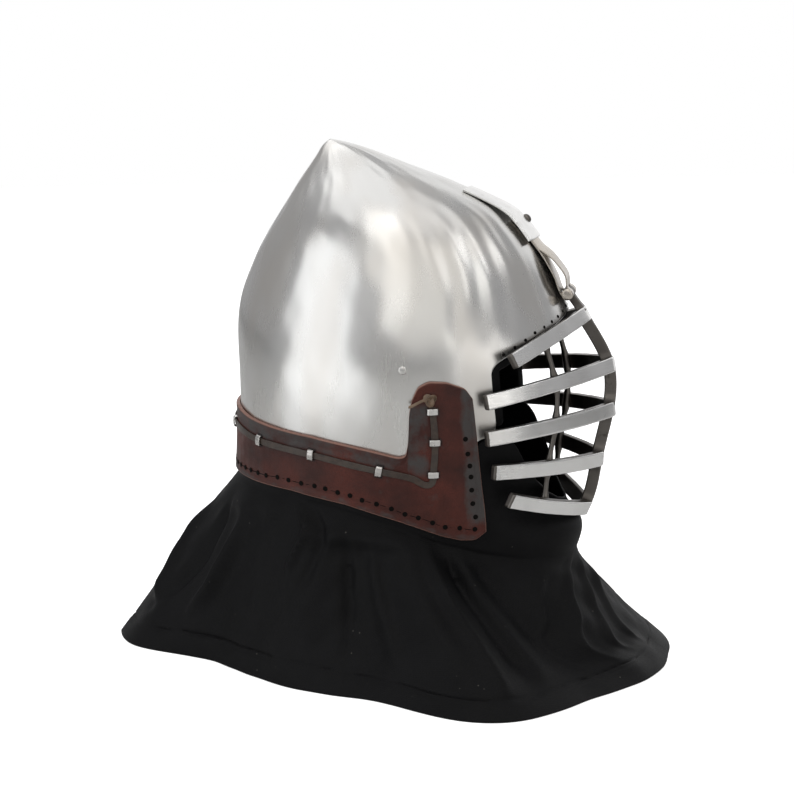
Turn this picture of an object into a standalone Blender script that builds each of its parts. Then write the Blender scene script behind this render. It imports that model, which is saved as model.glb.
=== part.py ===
"""Bascinet: a pointed steel skull with a padded liner, a leather band laced on through staples, a cloth
aventail that stands on its hem, and a welded bar visor on a single hinge at the brow.

Metres, +Z up. The face looks along -Y and the wearer's right side is -X. The origin is on the floor
under the middle of the hem.
"""

import math

import bmesh
import bpy
import numpy as np

# Helmet
HELMET_HEIGHT = 0.412
SKULL_LENGTH = 0.272
SKULL_WIDTH = 0.213
SKULL_DROP = 0.300
SKULL_MIDDLE_Y = -0.0135
STEEL = 0.002
APEX_STEEL = 0.004
CREST_HEIGHT = 0.003
CREST_WIDTH = 0.013
LINER_THICKNESS = 0.008
LINER_APEX_DROP = 0.012

# Seats and clearances
GAP = 0.0003
SEAT = 0.0005
LINER_GAP = 0.0012

# Leather band
LEATHER = 0.003

# Aventail
CLOTH = 0.0026
HEM_REACH = 0.2277
HEM_HALF_WIDTH = 0.2025
CHIN_HOLLOW = 0.0165
CHIN_HOLLOW_DOWN = 0.955
CHIN_HOLLOW_SPREAD = 0.042
CHIN_SIDE = 56.0
CHIN_SIDE_SPREAD = 24.0

# Lace and staples
LACE_WIDTH = 0.0055
LACE_THICKNESS = 0.0012
KNOT_WIDTH = 0.012
KNOT_HEIGHT = 0.006
KNOT_FLAT_FROM = 60.0
TAIL_WIDTH = 0.005
STAPLE_WIRE = 0.0012
STAPLE_LENGTH = 0.005
SLOT_CLEARANCE = 0.0005

# Brow plate, hinge and rivets
PLATE_THICKNESS = 0.0018
PLATE_WIDTH_TOP = 0.032
PLATE_WIDTH_LOW = 0.043
PLATE_LIFT_SHARE = 0.6
PLATE_LIFT_POWER = 1.5
STRAP_THICKNESS = 0.0013
STRAP_WIDTH = 0.028
STRAP_ARCH = 0.0042
STRAP_WRAP = 215.0
CREST_SIDE_RADIUS = 0.08
PIN_DIAMETER = 0.006
PIN_HEAD_DIAMETER = 0.0094
PIN_HEAD_LENGTH = 0.0026
PIN_END_SHARE = 0.8
PIN_REACH = 0.95147
PIN_DROP = 0.39667
PIN_CLEARANCE = 0.0003
KNUCKLE_LENGTH = 0.012
KNUCKLE_SIDE_CLEARANCE = 0.0005
NOTCH_CLEARANCE = 0.0012
RIVET_DIAMETER = 0.0077
RIVET_HEIGHT = 0.0028
SKULL_RIVET_DIAMETER = 0.0065
SKULL_RIVET_HEIGHT = 0.0008

# Visor
BAR_HEIGHT = 0.012
BAR_THICKNESS = 0.0062
SPINE_WIDTH = 0.005
SPINE_DEPTH = 0.0095
SPINE_SETBACK = 0.0008
ROD_DIAMETER = 0.0042
ROD_SPREAD = 0.057
WELD_DEPTH = 0.0006
BRACKET_WIDTH = 0.0106
BRACKET_THICKNESS = 0.006
BRACKET_INSET = 0.001
BRACKET_SEAT = 0.75

# Mesh fineness
SKULL_COLUMNS = 52
SKULL_ROWS = 11
BAND_ROWS = 5
UPPER_CLOTH_ROWS = 6
LINER_COLUMNS = 32
LINER_ROWS = 7
CLOTH_COLUMNS = 68
COLUMN_CROWDING = 8.0
BAND_COLUMNS = 40
BAR_STEPS = 7
LACE_STEPS = 34

# Rings of the skull, from the apex down. Shares: reaches and half widths of half the skull's length and
# width, drops of SKULL_DROP below the apex.
# front reach, front drop, back reach, back drop, half width, middle reach, side drop
SKULL_RINGS = (
    (-0.456, 0.0000, 0.456, 0.0000, 0.000, -0.456, 0.0000),
    (-0.412, 0.0030, 0.488, 0.0110, 0.047, -0.449, 0.0067),
    (-0.320, 0.0123, 0.522, 0.0333, 0.127, -0.430, 0.0233),
    (-0.114, 0.0453, 0.614, 0.0950, 0.300, -0.379, 0.0733),
    (0.107, 0.0840, 0.702, 0.1583, 0.498, -0.320, 0.1317),
    (0.312, 0.1215, 0.790, 0.2217, 0.662, -0.261, 0.1900),
    (0.511, 0.1660, 0.864, 0.2800, 0.770, -0.202, 0.2500),
    (0.640, 0.2130, 0.926, 0.3433, 0.854, -0.151, 0.3167),
    (0.775, 0.2910, 0.978, 0.4100, 0.925, -0.099, 0.3933),
    (0.876, 0.3820, 1.002, 0.4867, 0.977, -0.070, 0.4767),
    (0.960, 0.4667, 0.999, 0.5567, 1.000, -0.055, 0.5467),
    (1.004, 0.5633, 0.993, 0.6333, 1.003, -0.048, 0.6233),
    (1.033, 0.7067, 0.991, 0.7333, 0.986, -0.048, 0.7333),
    (1.055, 0.8567, 0.996, 0.8400, 0.948, -0.055, 0.8467),
    (1.070, 1.0000, 1.015, 0.9467, 0.911, -0.063, 0.9667),
    (1.011, 1.0933, 1.030, 1.0200, 0.892, -0.070, 1.0533),
)
LAST_FULL_RING = 14

# Outlines drawn on the skull's surface: degrees round from the front, share of the way down from apex.
STEEL_EDGE = (
    (0.0, 0.603),
    (18.6, 0.615),
    (32.5, 0.625),
    (45.3, 0.645),
    (50.4, 0.655),
    (52.8, 0.670),
    (53.2, 0.700),
    (52.4, 0.746),
    (51.9, 0.784),
    (53.4, 0.799),
    (58.0, 0.806),
    (63.0, 0.835),
    (69.0, 0.885),
    (76.0, 0.925),
    (84.0, 0.934),
    (100.0, 0.909),
    (120.0, 0.891),
    (140.0, 0.888),
    (160.0, 0.884),
    (180.0, 0.882),
)
BAND_TOP = (
    (56.4, 0.715),
    (59.6, 0.692),
    (67.5, 0.674),
    (73.7, 0.667),
    (77.1, 0.676),
    (79.2, 0.704),
    (80.1, 0.735),
    (80.5, 0.800),
    (81.2, 0.830),
    (83.5, 0.834),
    (91.8, 0.819),
    (100.6, 0.806),
    (113.5, 0.790),
    (129.6, 0.780),
    (146.0, 0.770),
    (163.0, 0.756),
    (180.0, 0.750),
)
BAND_BOTTOM = (
    (56.4, 1.002),
    (59.6, 1.022),
    (64.1, 1.024),
    (70.2, 1.016),
    (83.3, 0.987),
    (100.3, 0.956),
    (120.6, 0.938),
    (140.1, 0.935),
    (155.0, 0.932),
    (180.0, 0.929),
)
BAND_FRONT_LEAN = 3.6
BAND_LEAN_SPREAD = 12.0
BAND_EVEN_FROM = 90.0

# Liner: the share down from the apex where its rows start, and its edge: how far it stands out in the face
# opening, in degrees and in shares, and how far short of the steel it stops below.
FACE_HALF = 53.2
FACE_LOW = 0.79
BROW_LOW = 0.66
LINER_TOP = 0.10
LINER_LIP_ASIDE = 3.6
LINER_LIP_DOWN = 0.016
LINER_SHORT = 0.012
LINER_LOWEST = 0.93

# Upper edge of the cloth: across the chin, up beside the face, then behind the band.
CLOTH_TOP = (
    (0.0, 0.958),
    (15.0, 0.952),
    (27.0, 0.935),
    (36.0, 0.905),
    (41.0, 0.868),
    (44.5, 0.828),
    (48.0, 0.808),
    (53.4, 0.806),
    (58.0, 0.814),
    (63.0, 0.844),
    (69.0, 0.898),
    (76.0, 0.945),
    (83.3, 0.951),
    (100.3, 0.922),
    (120.6, 0.904),
    (140.1, 0.901),
    (155.0, 0.898),
    (180.0, 0.895),
)

# Where the cloth leaves the neck and starts to spread.
CLOTH_NECK = (
    (0.0, 1.070),
    (40.0, 1.068),
    (57.6, 1.052),
    (64.1, 1.042),
    (70.2, 1.034),
    (83.3, 1.003),
    (100.3, 0.970),
    (120.6, 0.951),
    (140.1, 0.947),
    (155.0, 0.944),
    (180.0, 0.941),
)

# Hem on the floor: degrees round from the front, share of HEM_REACH.
HEM_OUTLINE = (
    (0.0, 1.000),
    (9.0, 1.003),
    (18.0, 0.990),
    (29.0, 0.975),
    (44.0, 0.987),
    (54.0, 1.015),
    (61.6, 1.005),
    (68.0, 0.955),
    (79.0, 0.790),
    (93.0, 0.697),
    (110.0, 0.660),
    (126.0, 0.642),
    (142.0, 0.648),
    (153.0, 0.690),
    (161.0, 0.790),
    (168.0, 0.915),
    (173.5, 0.968),
    (180.0, 1.000),
)

# Folds of the cloth: degrees round at the neck and at the hem, half breadth in degrees, height, and the
# share of the way down where the fold is highest. Positive degrees are the wearer's right side.
FOLD_FALL = 0.55
CLOTH_FOLDS = (
    (78.0, 60.0, 7.0, 0.011, 0.60),
    (96.0, 88.0, 8.0, -0.006, 0.65),
    (118.0, 112.0, 8.0, 0.005, 0.60),
    (150.0, 158.0, 6.0, 0.006, 0.55),
    (40.0, 36.0, 6.0, -0.007, 0.55),
    (22.0, 20.0, 6.0, 0.006, 0.60),
    (5.0, 2.0, 6.0, -0.004, 0.55),
    (-20.0, -22.0, 7.0, 0.006, 0.60),
    (-38.0, -40.0, 6.0, -0.006, 0.55),
    (-74.0, -62.0, 7.0, 0.010, 0.60),
    (-98.0, -94.0, 9.0, -0.006, 0.65),
    (-124.0, -122.0, 8.0, 0.005, 0.60),
    (-152.0, -158.0, 6.0, 0.006, 0.55),
)

# Rows of the free cloth as shares of the way out to the hem, how the cloth bends outwards on average and
# how much more at the front, and how much of the folds is left at the hem.
FREE_ROWS = (0.14, 0.30, 0.48, 0.66, 0.84, 1.0)
SPREAD_POWER = 1.18
SPREAD_POWER_FRONT = 0.22
HEM_FOLD_SHARE = 0.35

# Staples on each side, and the lace's route through them, from the knot to the nape.
STAPLES = (
    (72.9, 0.732, "down"),
    (72.3, 0.800, "down"),
    (72.8, 0.872, "down"),
    (89.5, 0.866, "along"),
    (112.7, 0.836, "along"),
    (137.6, 0.822, "along"),
    (164.0, 0.802, "along"),
)
LACE_ROUTE = (
    (73.0, 0.7225),
    (72.9, 0.732),
    (72.5, 0.765),
    (72.3, 0.800),
    (72.4, 0.835),
    (72.7, 0.862),
    (72.9, 0.883),
    (73.5, 0.893),
    (75.0, 0.896),
    (77.6, 0.887),
    (82.0, 0.876),
    (89.5, 0.866),
    (101.0, 0.850),
    (112.7, 0.836),
    (125.0, 0.828),
    (137.6, 0.822),
    (151.0, 0.812),
    (164.0, 0.802),
    (180.0, 0.797),
)
LACE_TURN = 8
KNOT_PLACE = (73.6, 0.698)
TAIL_ROUTE = ((77.6, 0.700), (79.0, 0.706), (80.4, 0.716))
SKULL_RIVET_PLACE = (81.7, 0.636)

# Brow plate and strap along the crest: share of the way down from the apex.
PLATE_TOP = 0.287
PLATE_LOW = 0.455
STRAP_TOP = 0.395
RIVET_DOWN = 0.415
STRAP_LEAVES_CREST = 0.540

# How far each row of the strap's two leaves takes the crest's creased shape: 1 for all of it, 0 for flat.
INNER_LEAF_CREASE = (1.0, 1.0, 0.9, 0.7, 0.45, 0.2, 0.0)
OUTER_LEAF_CREASE = (0.0, 0.2, 0.5, 0.85, 1.0, 1.0, 1.0, 1.0)

# Hinge pin and visor bars. Shares: nose reach of half the skull's length, nose drop of SKULL_DROP, length of
# half a bar of half the skull's width. Degrees: slope of the bar's plane towards the back, and the bar's
# angle off the head's centre line at the nose and at its end.
# nose reach, nose drop, slope, nose angle, end angle, half length
VISOR_BARS = (
    (1.06985, 0.44800, -27.9, 68.0, 49.0, 1.03286),
    (1.22721, 0.58367, -10.7, 63.0, 30.0, 1.30516),
    (1.23235, 0.70367, -6.0, 63.0, 31.0, 1.29577),
    (1.16985, 0.83933, 3.6, 65.0, 37.0, 1.18310),
    (1.09191, 0.97700, 23.7, 68.0, 47.0, 1.05164),
)
NOSE_ROUNDING = 0.008
BAR_FIRST_PLACES = (0.0, 0.055)
BAR_EVEN_FROM = 0.14
SPINE_TOP = (0.0020, 0.0035)
SPINE_FOOT = (0.0028, -0.0045)
ROD_TOP_OVERRUN = 0.12
ROD_FOOT_OVERRUN = 0.06


def natural_spline(places, values):
    """Cubic with continuous curvature through rows of values at rising places, straight at both ends."""
    places = np.asarray(places, float)
    values = np.asarray(values, float).reshape(len(places), -1)
    count = len(places)
    step = np.diff(places)
    system = np.eye(count)
    bends = np.zeros_like(values)
    for i in range(1, count - 1):
        system[i, i - 1 : i + 2] = step[i - 1], 2 * (step[i - 1] + step[i]), step[i]
        bends[i] = 6 * ((values[i + 1] - values[i]) / step[i] - (values[i] - values[i - 1]) / step[i - 1])
    bends = np.linalg.solve(system, bends)

    def at(x):
        x = np.asarray(x, float)
        k = np.clip(np.searchsorted(places, x) - 1, 0, count - 2)
        run = (x - places[k])[..., None]
        span = step[k][..., None]
        slope = (values[k + 1] - values[k]) / span - span * (2 * bends[k] + bends[k + 1]) / 6
        twist = (bends[k + 1] - bends[k]) / (6 * span)
        return values[k] + slope * run + bends[k] / 2 * run**2 + twist * run**3

    return at


def outline(table):
    """Share against degrees, by straight runs between the rows, the same on both sides."""
    degrees, shares = np.array(table).T
    return lambda angle: np.interp(np.degrees(np.abs(angle)), degrees, shares)


def ring_sizes():
    """Ring table in metres: front y and z, back y and z, half width, middle y, side z."""
    shares = np.array(SKULL_RINGS)
    half_length, half_width = SKULL_LENGTH / 2, SKULL_WIDTH / 2
    rings = np.empty_like(shares)
    rings[:, 0] = SKULL_MIDDLE_Y - shares[:, 0] * half_length
    rings[:, 2] = SKULL_MIDDLE_Y + shares[:, 2] * half_length
    rings[:, 5] = SKULL_MIDDLE_Y - shares[:, 5] * half_length
    rings[:, 4] = shares[:, 4] * half_width
    for column in (1, 3, 6):
        rings[:, column] = HELMET_HEIGHT - shares[:, column] * SKULL_DROP
    return rings


def in_profile(reach, drop):
    """Y and Z of a point of the middle plane, from shares of the skull's half length and of its drop."""
    return SKULL_MIDDLE_Y - reach * SKULL_LENGTH / 2, HELMET_HEIGHT - drop * SKULL_DROP


RINGS = ring_sizes()
RING_STEPS = np.linalg.norm(np.diff(RINGS[:, [4, 6]], axis=0), axis=1)
RING_PLACES = np.concatenate([[0.0], np.cumsum(RING_STEPS)])
RING_PLACES = RING_PLACES / RING_PLACES[LAST_FULL_RING]
ring_at = natural_spline(RING_PLACES, RINGS)
PIN_Y, PIN_Z = in_profile(PIN_REACH, PIN_DROP)


def skull_point(angle, down):
    """Point of the skull's outer face. Each ring is an egg: the cosine of the angle moves it from back to
    front, the squared cosine shifts its widest place, and the sine gives the width. A crest is added."""
    angle, down = np.broadcast_arrays(np.asarray(angle, float), np.asarray(down, float))
    front_y, front_z, back_y, back_z, half_width, middle_y, side_z = np.moveaxis(ring_at(down), -1, 0)
    ahead, aside = np.cos(angle), np.sin(angle)
    y = middle_y + (front_y - back_y) / 2 * ahead + ((front_y + back_y) / 2 - middle_y) * ahead**2
    z = side_z + (front_z - back_z) / 2 * ahead + ((front_z + back_z) / 2 - side_z) * ahead**2
    x = -half_width * aside
    rise = CREST_HEIGHT * np.exp(-((x / CREST_WIDTH) ** 2)) * np.sin(np.pi * np.clip(down / 0.9, 0, 1)) ** 2
    rise = np.where(ahead > 0, rise, 0.0) * math.sqrt(0.5)
    return np.stack([x, y - rise, z + rise], -1)


def skull_normal(angle, down):
    """Unit normal of the skull's outer face, from short steps both ways."""
    step = 1e-4
    down = np.maximum(down, 2 * step)
    around = skull_point(angle + step, down) - skull_point(angle - step, down)
    along = skull_point(angle, down + step) - skull_point(angle, down - step)
    normal = np.cross(around, along)
    return normal / np.linalg.norm(normal, axis=-1, keepdims=True)


def over_skull(angle, down, height):
    """Point at a height over the skull's outer face."""
    angle, down = np.broadcast_arrays(np.asarray(angle, float), np.asarray(down, float))
    return skull_point(angle, down) + skull_normal(angle, down) * np.asarray(height)[..., None]


def material(name, colour, roughness, metallic):
    made = bpy.data.materials.new(name)
    made.use_nodes = True
    shader = made.node_tree.nodes["Principled BSDF"]
    shader.inputs["Base Color"].default_value = (*colour, 1.0)
    shader.inputs["Roughness"].default_value = roughness
    shader.inputs["Metallic"].default_value = metallic
    return made


def add_object(name, points, faces, finish, parent=None):
    """Object at the origin, or on its parent's axis with the points brought along, facing out."""
    offset = np.array(parent.location) if parent else np.zeros(3)
    mesh = bpy.data.meshes.new(name)
    mesh.from_pydata([tuple(p) for p in np.asarray(points) - offset], [], faces)
    mesh.validate()
    bm = bmesh.new()
    bm.from_mesh(mesh)
    bmesh.ops.recalc_face_normals(bm, faces=bm.faces)
    if bm.calc_volume(signed=True) < 0:
        bmesh.ops.reverse_faces(bm, faces=bm.faces)
    bm.to_mesh(mesh)
    bm.free()
    mesh.shade_smooth()
    mesh.set_sharp_from_angle(angle=math.radians(35))
    made = bpy.data.objects.new(name, mesh)
    made.data.materials.append(finish)
    made.parent = parent
    bpy.context.scene.collection.objects.link(made)
    return made


def grid_faces(rows, columns, start, closed):
    """Four-sided faces of a grid of points stored row by row, its columns a ring or an open run."""
    faces = []
    for i in range(rows - 1):
        for j in range(columns if closed else columns - 1):
            k = (j + 1) % columns
            row, below = start + i * columns, start + (i + 1) * columns
            faces.append((row + j, row + k, below + k, below + j))
    return faces


def add_bowl(name, outer_tip, outer, inner_tip, inner, finish):
    """Bowl: two closed grids that start at a tip and are joined at their lower rims."""
    rows, columns = outer.shape[:2]
    points = np.concatenate([[outer_tip], outer.reshape(-1, 3), [inner_tip], inner.reshape(-1, 3)])
    inner_start = 2 + rows * columns
    faces = grid_faces(rows, columns, 1, True)
    faces += grid_faces(rows, columns, inner_start, True)
    last = (rows - 1) * columns
    for j in range(columns):
        k = (j + 1) % columns
        faces.append((0, 1 + k, 1 + j))
        faces.append((inner_start - 1, inner_start + k, inner_start + j))
        faces.append((1 + last + j, 1 + last + k, inner_start + last + k, inner_start + last + j))
    return add_object(name, points, faces, finish)


def add_wall(name, outer, inner, finish, closed):
    """Wall between two grids: a tube when its columns close, a sheet with four rims when they don't."""
    rows, columns = outer.shape[:2]
    points = np.concatenate([outer.reshape(-1, 3), inner.reshape(-1, 3)])
    second = rows * columns
    faces = grid_faces(rows, columns, 0, closed) + grid_faces(rows, columns, second, closed)
    for j in range(columns if closed else columns - 1):
        k = (j + 1) % columns
        for row in (0, (rows - 1) * columns):
            faces.append((row + j, row + k, second + row + k, second + row + j))
    if not closed:
        for i in range(rows - 1):
            for j in (0, columns - 1):
                a, b = i * columns + j, (i + 1) * columns + j
                faces.append((a, b, second + b, second + a))
    return add_object(name, points, faces, finish)


def add_swept(name, sections, finish, parent=None):
    """Solid bar: equal closed sections, one after another, with a flat face on each end."""
    sections = np.asarray(sections)
    count, sides = sections.shape[:2]
    faces = grid_faces(count, sides, 0, True)
    faces.append(tuple(range(sides)))
    faces.append(tuple(range((count - 1) * sides, count * sides)))
    return add_object(name, sections.reshape(-1, 3), faces, finish, parent)


def add_prism(name, profile, half_width, finish, parent=None):
    """Prism of a profile in the Y-Z plane, as wide as given on both sides of the middle plane."""
    profile = np.asarray(profile)
    left = np.column_stack([np.full(len(profile), -half_width), profile])
    right = np.column_stack([np.full(len(profile), half_width), profile])
    return add_swept(name, np.stack([left, right]), finish, parent)


def unit(vectors):
    return vectors / np.linalg.norm(vectors, axis=-1, keepdims=True)


def run_lengths(points):
    """Length of the line through the points, up to each of them."""
    return np.concatenate([[0.0], np.cumsum(np.linalg.norm(np.diff(points, axis=0), axis=1))])


def apply_modifier(target, modifier):
    with bpy.context.temp_override(object=target, active_object=target):
        bpy.ops.object.modifier_apply(modifier=modifier.name)


def cut_away(target, cutter):
    cutter.hide_render = True
    cutter.display_type = "WIRE"
    modifier = target.modifiers.new("cut_" + cutter.name, "BOOLEAN")
    modifier.operation = "DIFFERENCE"
    modifier.solver = "EXACT"
    modifier.object = cutter


def weld_on(target, pieces):
    """Joins welded pieces to the target as one body, and removes the separate pieces."""
    for piece in pieces:
        modifier = target.modifiers.new("weld_" + piece.name, "BOOLEAN")
        modifier.operation = "UNION"
        modifier.solver = "EXACT"
        modifier.object = piece
        apply_modifier(target, modifier)
        bpy.data.objects.remove(piece, do_unlink=True)


def skull_columns(count, rows, edge, start_down):
    """Angles and shares of columns that run from the apex to an edge outline. They start evenly spread
    and lean over towards the edge's own points, so that they also meet its upright stretches."""
    edge_degrees, edge_down = np.array(edge).T
    side_points = skull_point(np.radians(edge_degrees), edge_down)
    runs = run_lengths(side_points)
    half = count // 2
    places = np.linspace(0.0, runs[-1], half + 1)
    end_degrees = np.interp(places, runs, edge_degrees)
    end_down = np.interp(places, runs, edge_down)
    start_degrees = np.linspace(0.0, 180.0, half + 1)
    mirror = np.arange(half - 1, 0, -1)
    end_degrees = np.concatenate([end_degrees, -end_degrees[mirror]])
    end_down = np.concatenate([end_down, end_down[mirror]])
    start_degrees = np.concatenate([start_degrees, -start_degrees[mirror]])
    share = np.linspace(0.0, 1.0, rows + 1)[1:, None]
    down = start_down + (end_down - start_down) * share
    angle = np.radians(start_degrees + (end_degrees - start_degrees) * share**2)
    return angle, down


def make_skull(finish):
    angle, down = skull_columns(SKULL_COLUMNS, SKULL_ROWS, STEEL_EDGE, 0.0)
    tip = skull_point(0.0, 0.0)
    inner_tip = tip - (0.0, 0.0, APEX_STEEL)
    return add_bowl(
        "skull", tip, over_skull(angle, down, 0.0), inner_tip, over_skull(angle, down, -STEEL), finish
    )


def liner_edge():
    """Edge of the liner: a little past the steel in the face opening, short of it round the neck."""
    edge = []
    for degrees, down in STEEL_EDGE:
        if down > FACE_LOW:
            edge.append((degrees, min(down, LINER_LOWEST) - LINER_SHORT))
        elif down > BROW_LOW:
            edge.append((degrees - LINER_LIP_ASIDE, down))
        else:
            edge.append((degrees * (1 - LINER_LIP_ASIDE / FACE_HALF), down + LINER_LIP_DOWN))
    return edge


def make_liner(finish):
    angle, down = skull_columns(LINER_COLUMNS, LINER_ROWS, liner_edge(), LINER_TOP)
    outer_height = -STEEL - LINER_GAP
    inner_height = outer_height - LINER_THICKNESS
    tip = np.array(skull_point(0.0, 0.0)) - (0.0, 0.0, LINER_APEX_DROP)
    outer = over_skull(angle, down, outer_height)
    inner = over_skull(angle, down, inner_height)
    return add_bowl("liner", tip, outer, tip - (0.0, 0.0, LINER_THICKNESS), inner, finish)


def band_grid(height):
    """Grid of the band, from its right front edge round the nape to its left front edge."""
    front = BAND_TOP[0][0]
    corner = np.array([row[0] for row in BAND_TOP if row[0] < BAND_EVEN_FROM])
    rest = np.linspace(BAND_EVEN_FROM, 180.0, BAND_COLUMNS // 2 - len(corner) + 1)
    degrees = np.concatenate([corner, rest])
    degrees = np.concatenate([degrees, 360.0 - degrees[-2::-1]])
    angle = np.radians(np.where(degrees > 180.0, degrees - 360.0, degrees))
    top, bottom = outline(BAND_TOP)(angle), outline(BAND_BOTTOM)(angle)
    share = np.linspace(0.0, 1.0, BAND_ROWS)[:, None]
    down = top + (bottom - top) * share
    near_front = np.clip(1 - (np.degrees(np.abs(angle)) - front) / BAND_LEAN_SPREAD, 0, 1)
    lean = np.radians(BAND_FRONT_LEAN) * near_front * (1 - share)
    return over_skull(angle + np.sign(angle) * lean, down, height)


def staple_frame(degrees, down, run):
    """Foot on the skull, the lace's direction, the direction across it, and the outward normal."""
    angle = math.radians(degrees)
    step = 1e-3
    foot = skull_point(angle, down)
    normal = skull_normal(np.array(angle), np.array(down))
    if run == "down":
        along = skull_point(angle, down + step) - foot
    else:
        route = np.array(LACE_ROUTE)
        ahead = math.radians(abs(degrees) + 2.0)
        route_down = np.interp([abs(degrees), abs(degrees) + 2.0], *route[LACE_TURN:].T)
        along = skull_point(math.copysign(ahead, degrees), down + route_down[1] - route_down[0]) - foot
    along = unit(along - normal * np.dot(along, normal))
    return foot, along, np.cross(normal, along), normal


def lace_heights():
    """Heights over the skull of the lace's two faces and of the staple's crown, inside and outside."""
    under = SEAT + LEATHER + GAP
    over = under + LACE_THICKNESS
    return under, over, over + GAP, over + GAP + STAPLE_WIRE


def staple_sections(place, grow, low, high):
    """Two outlines of a staple, or of the slot for it when it is grown by the clearance."""
    foot, along, across, normal = place
    inner_half = LACE_WIDTH / 2 + SLOT_CLEARANCE
    outer_half = inner_half + STAPLE_WIRE + grow
    half_length = STAPLE_LENGTH / 2 + grow
    if grow:
        shape = [(-outer_half, low), (outer_half, low), (outer_half, high), (-outer_half, high)]
    else:
        crown = lace_heights()[2]
        shape = [
            (-outer_half, low),
            (-inner_half, low),
            (-inner_half, crown),
            (inner_half, crown),
            (inner_half, low),
            (outer_half, low),
            (outer_half, high - STAPLE_WIRE / 3),
            (outer_half - STAPLE_WIRE / 2, high),
            (STAPLE_WIRE / 2 - outer_half, high),
            (-outer_half, high - STAPLE_WIRE / 3),
        ]
    rows = [foot + across * a + normal * h for a, h in shape]
    return np.stack([rows - along * half_length, rows + along * half_length])


def make_staples(steel, band):
    """Staples on both sides, and the slots that let them through the band."""
    crown = lace_heights()[3]
    slot_faces = []
    slot_points = []
    for side, name in ((1, "right"), (-1, "left")):
        for number, (degrees, down, run) in enumerate(STAPLES, start=1):
            place = staple_frame(side * degrees, down, run)
            sections = staple_sections(place, 0.0, SEAT, crown)
            add_swept(f"vervelle_{name}_{number}", sections, steel)
            slot = staple_sections(place, SLOT_CLEARANCE, -SEAT, crown)
            start = 8 * len(slot_points)
            slot_points.append(slot.reshape(-1, 3))
            slot_faces += grid_faces(2, 4, start, True)
            slot_faces += [tuple(range(start, start + 4)), tuple(range(start + 4, start + 8))]
    cutter = add_object("staple_slots", np.concatenate(slot_points), slot_faces, steel)
    cut_away(band, cutter)


def ribbon(route, heights, width, mirrored):
    """Sections of a flat strip laid over the skull along a route of degrees and shares."""
    route = np.array(route, float)
    if mirrored:
        back = route[-2::-1] * (-1.0, 1.0) + (360.0, 0.0)
        route = np.concatenate([route, back])
    angle, down = np.radians(route[:, 0]), route[:, 1]
    centre = over_skull(angle, down, heights[0])
    normal = skull_normal(angle, down)
    along = unit(np.gradient(centre, axis=0))
    across = unit(np.cross(normal, along))
    rise = normal * (heights[1] - heights[0])
    half = across * width / 2
    return np.stack([centre - half, centre + half, centre + half + rise, centre - half + rise], axis=1)


def make_lace(finish):
    under, over = lace_heights()[:2]
    marks = np.array(LACE_ROUTE)
    runs = run_lengths(skull_point(np.radians(marks[:, 0]), marks[:, 1]))
    route = natural_spline(runs, marks)(np.linspace(0.0, runs[-1], LACE_STEPS))
    add_swept("lace", ribbon(route, (under, over), LACE_WIDTH, True), finish)
    for side, name in ((1, "right"), (-1, "left")):
        tail = np.array(TAIL_ROUTE) * (side, 1.0)
        add_swept(f"lace_tail_{name}", ribbon(tail, (under, over), TAIL_WIDTH, False), finish)
        make_knot(f"lace_knot_{name}", side, under, finish)


def make_knot(name, side, under, finish):
    """Flattened ball, the outer shape of the knot, sitting on the band."""
    angle, down = math.radians(side * KNOT_PLACE[0]), KNOT_PLACE[1]
    normal = skull_normal(np.array(angle), np.array(down))
    along = unit(np.cross(normal, (0.0, 0.0, 1.0)))
    upward = np.cross(along, normal)
    centre = skull_point(angle, down) + normal * (under + KNOT_HEIGHT / 2)
    sections = []
    flat_from = math.radians(KNOT_FLAT_FROM)
    for tilt in np.linspace(-flat_from, flat_from, 5):
        reach, rise = math.cos(tilt) * KNOT_WIDTH / 2, math.sin(tilt) / math.sin(flat_from)
        turn = np.linspace(0.0, 2 * math.pi, 10, endpoint=False)[:, None]
        ring = along * np.cos(turn) * reach + upward * np.sin(turn) * reach
        sections.append(centre + ring + normal * rise * KNOT_HEIGHT / 2)
    add_swept(name, sections, finish)


def fold_height(degrees, share):
    """Sum of the folds: a bell across each fold, rising from the neck to its place and falling slowly."""
    total = np.zeros(np.broadcast_shapes(degrees.shape, share.shape))
    for neck, hem, breadth, height, place in CLOTH_FOLDS:
        centre = neck + (hem - neck) * share
        across = (degrees - centre + 180.0) % 360.0 - 180.0
        along = np.where(share < place, np.sin(np.pi / 2 * share / place), 1 - FOLD_FALL * (share - place))
        total += height * along * np.exp(-((across / breadth) ** 2))
    return total


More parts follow.
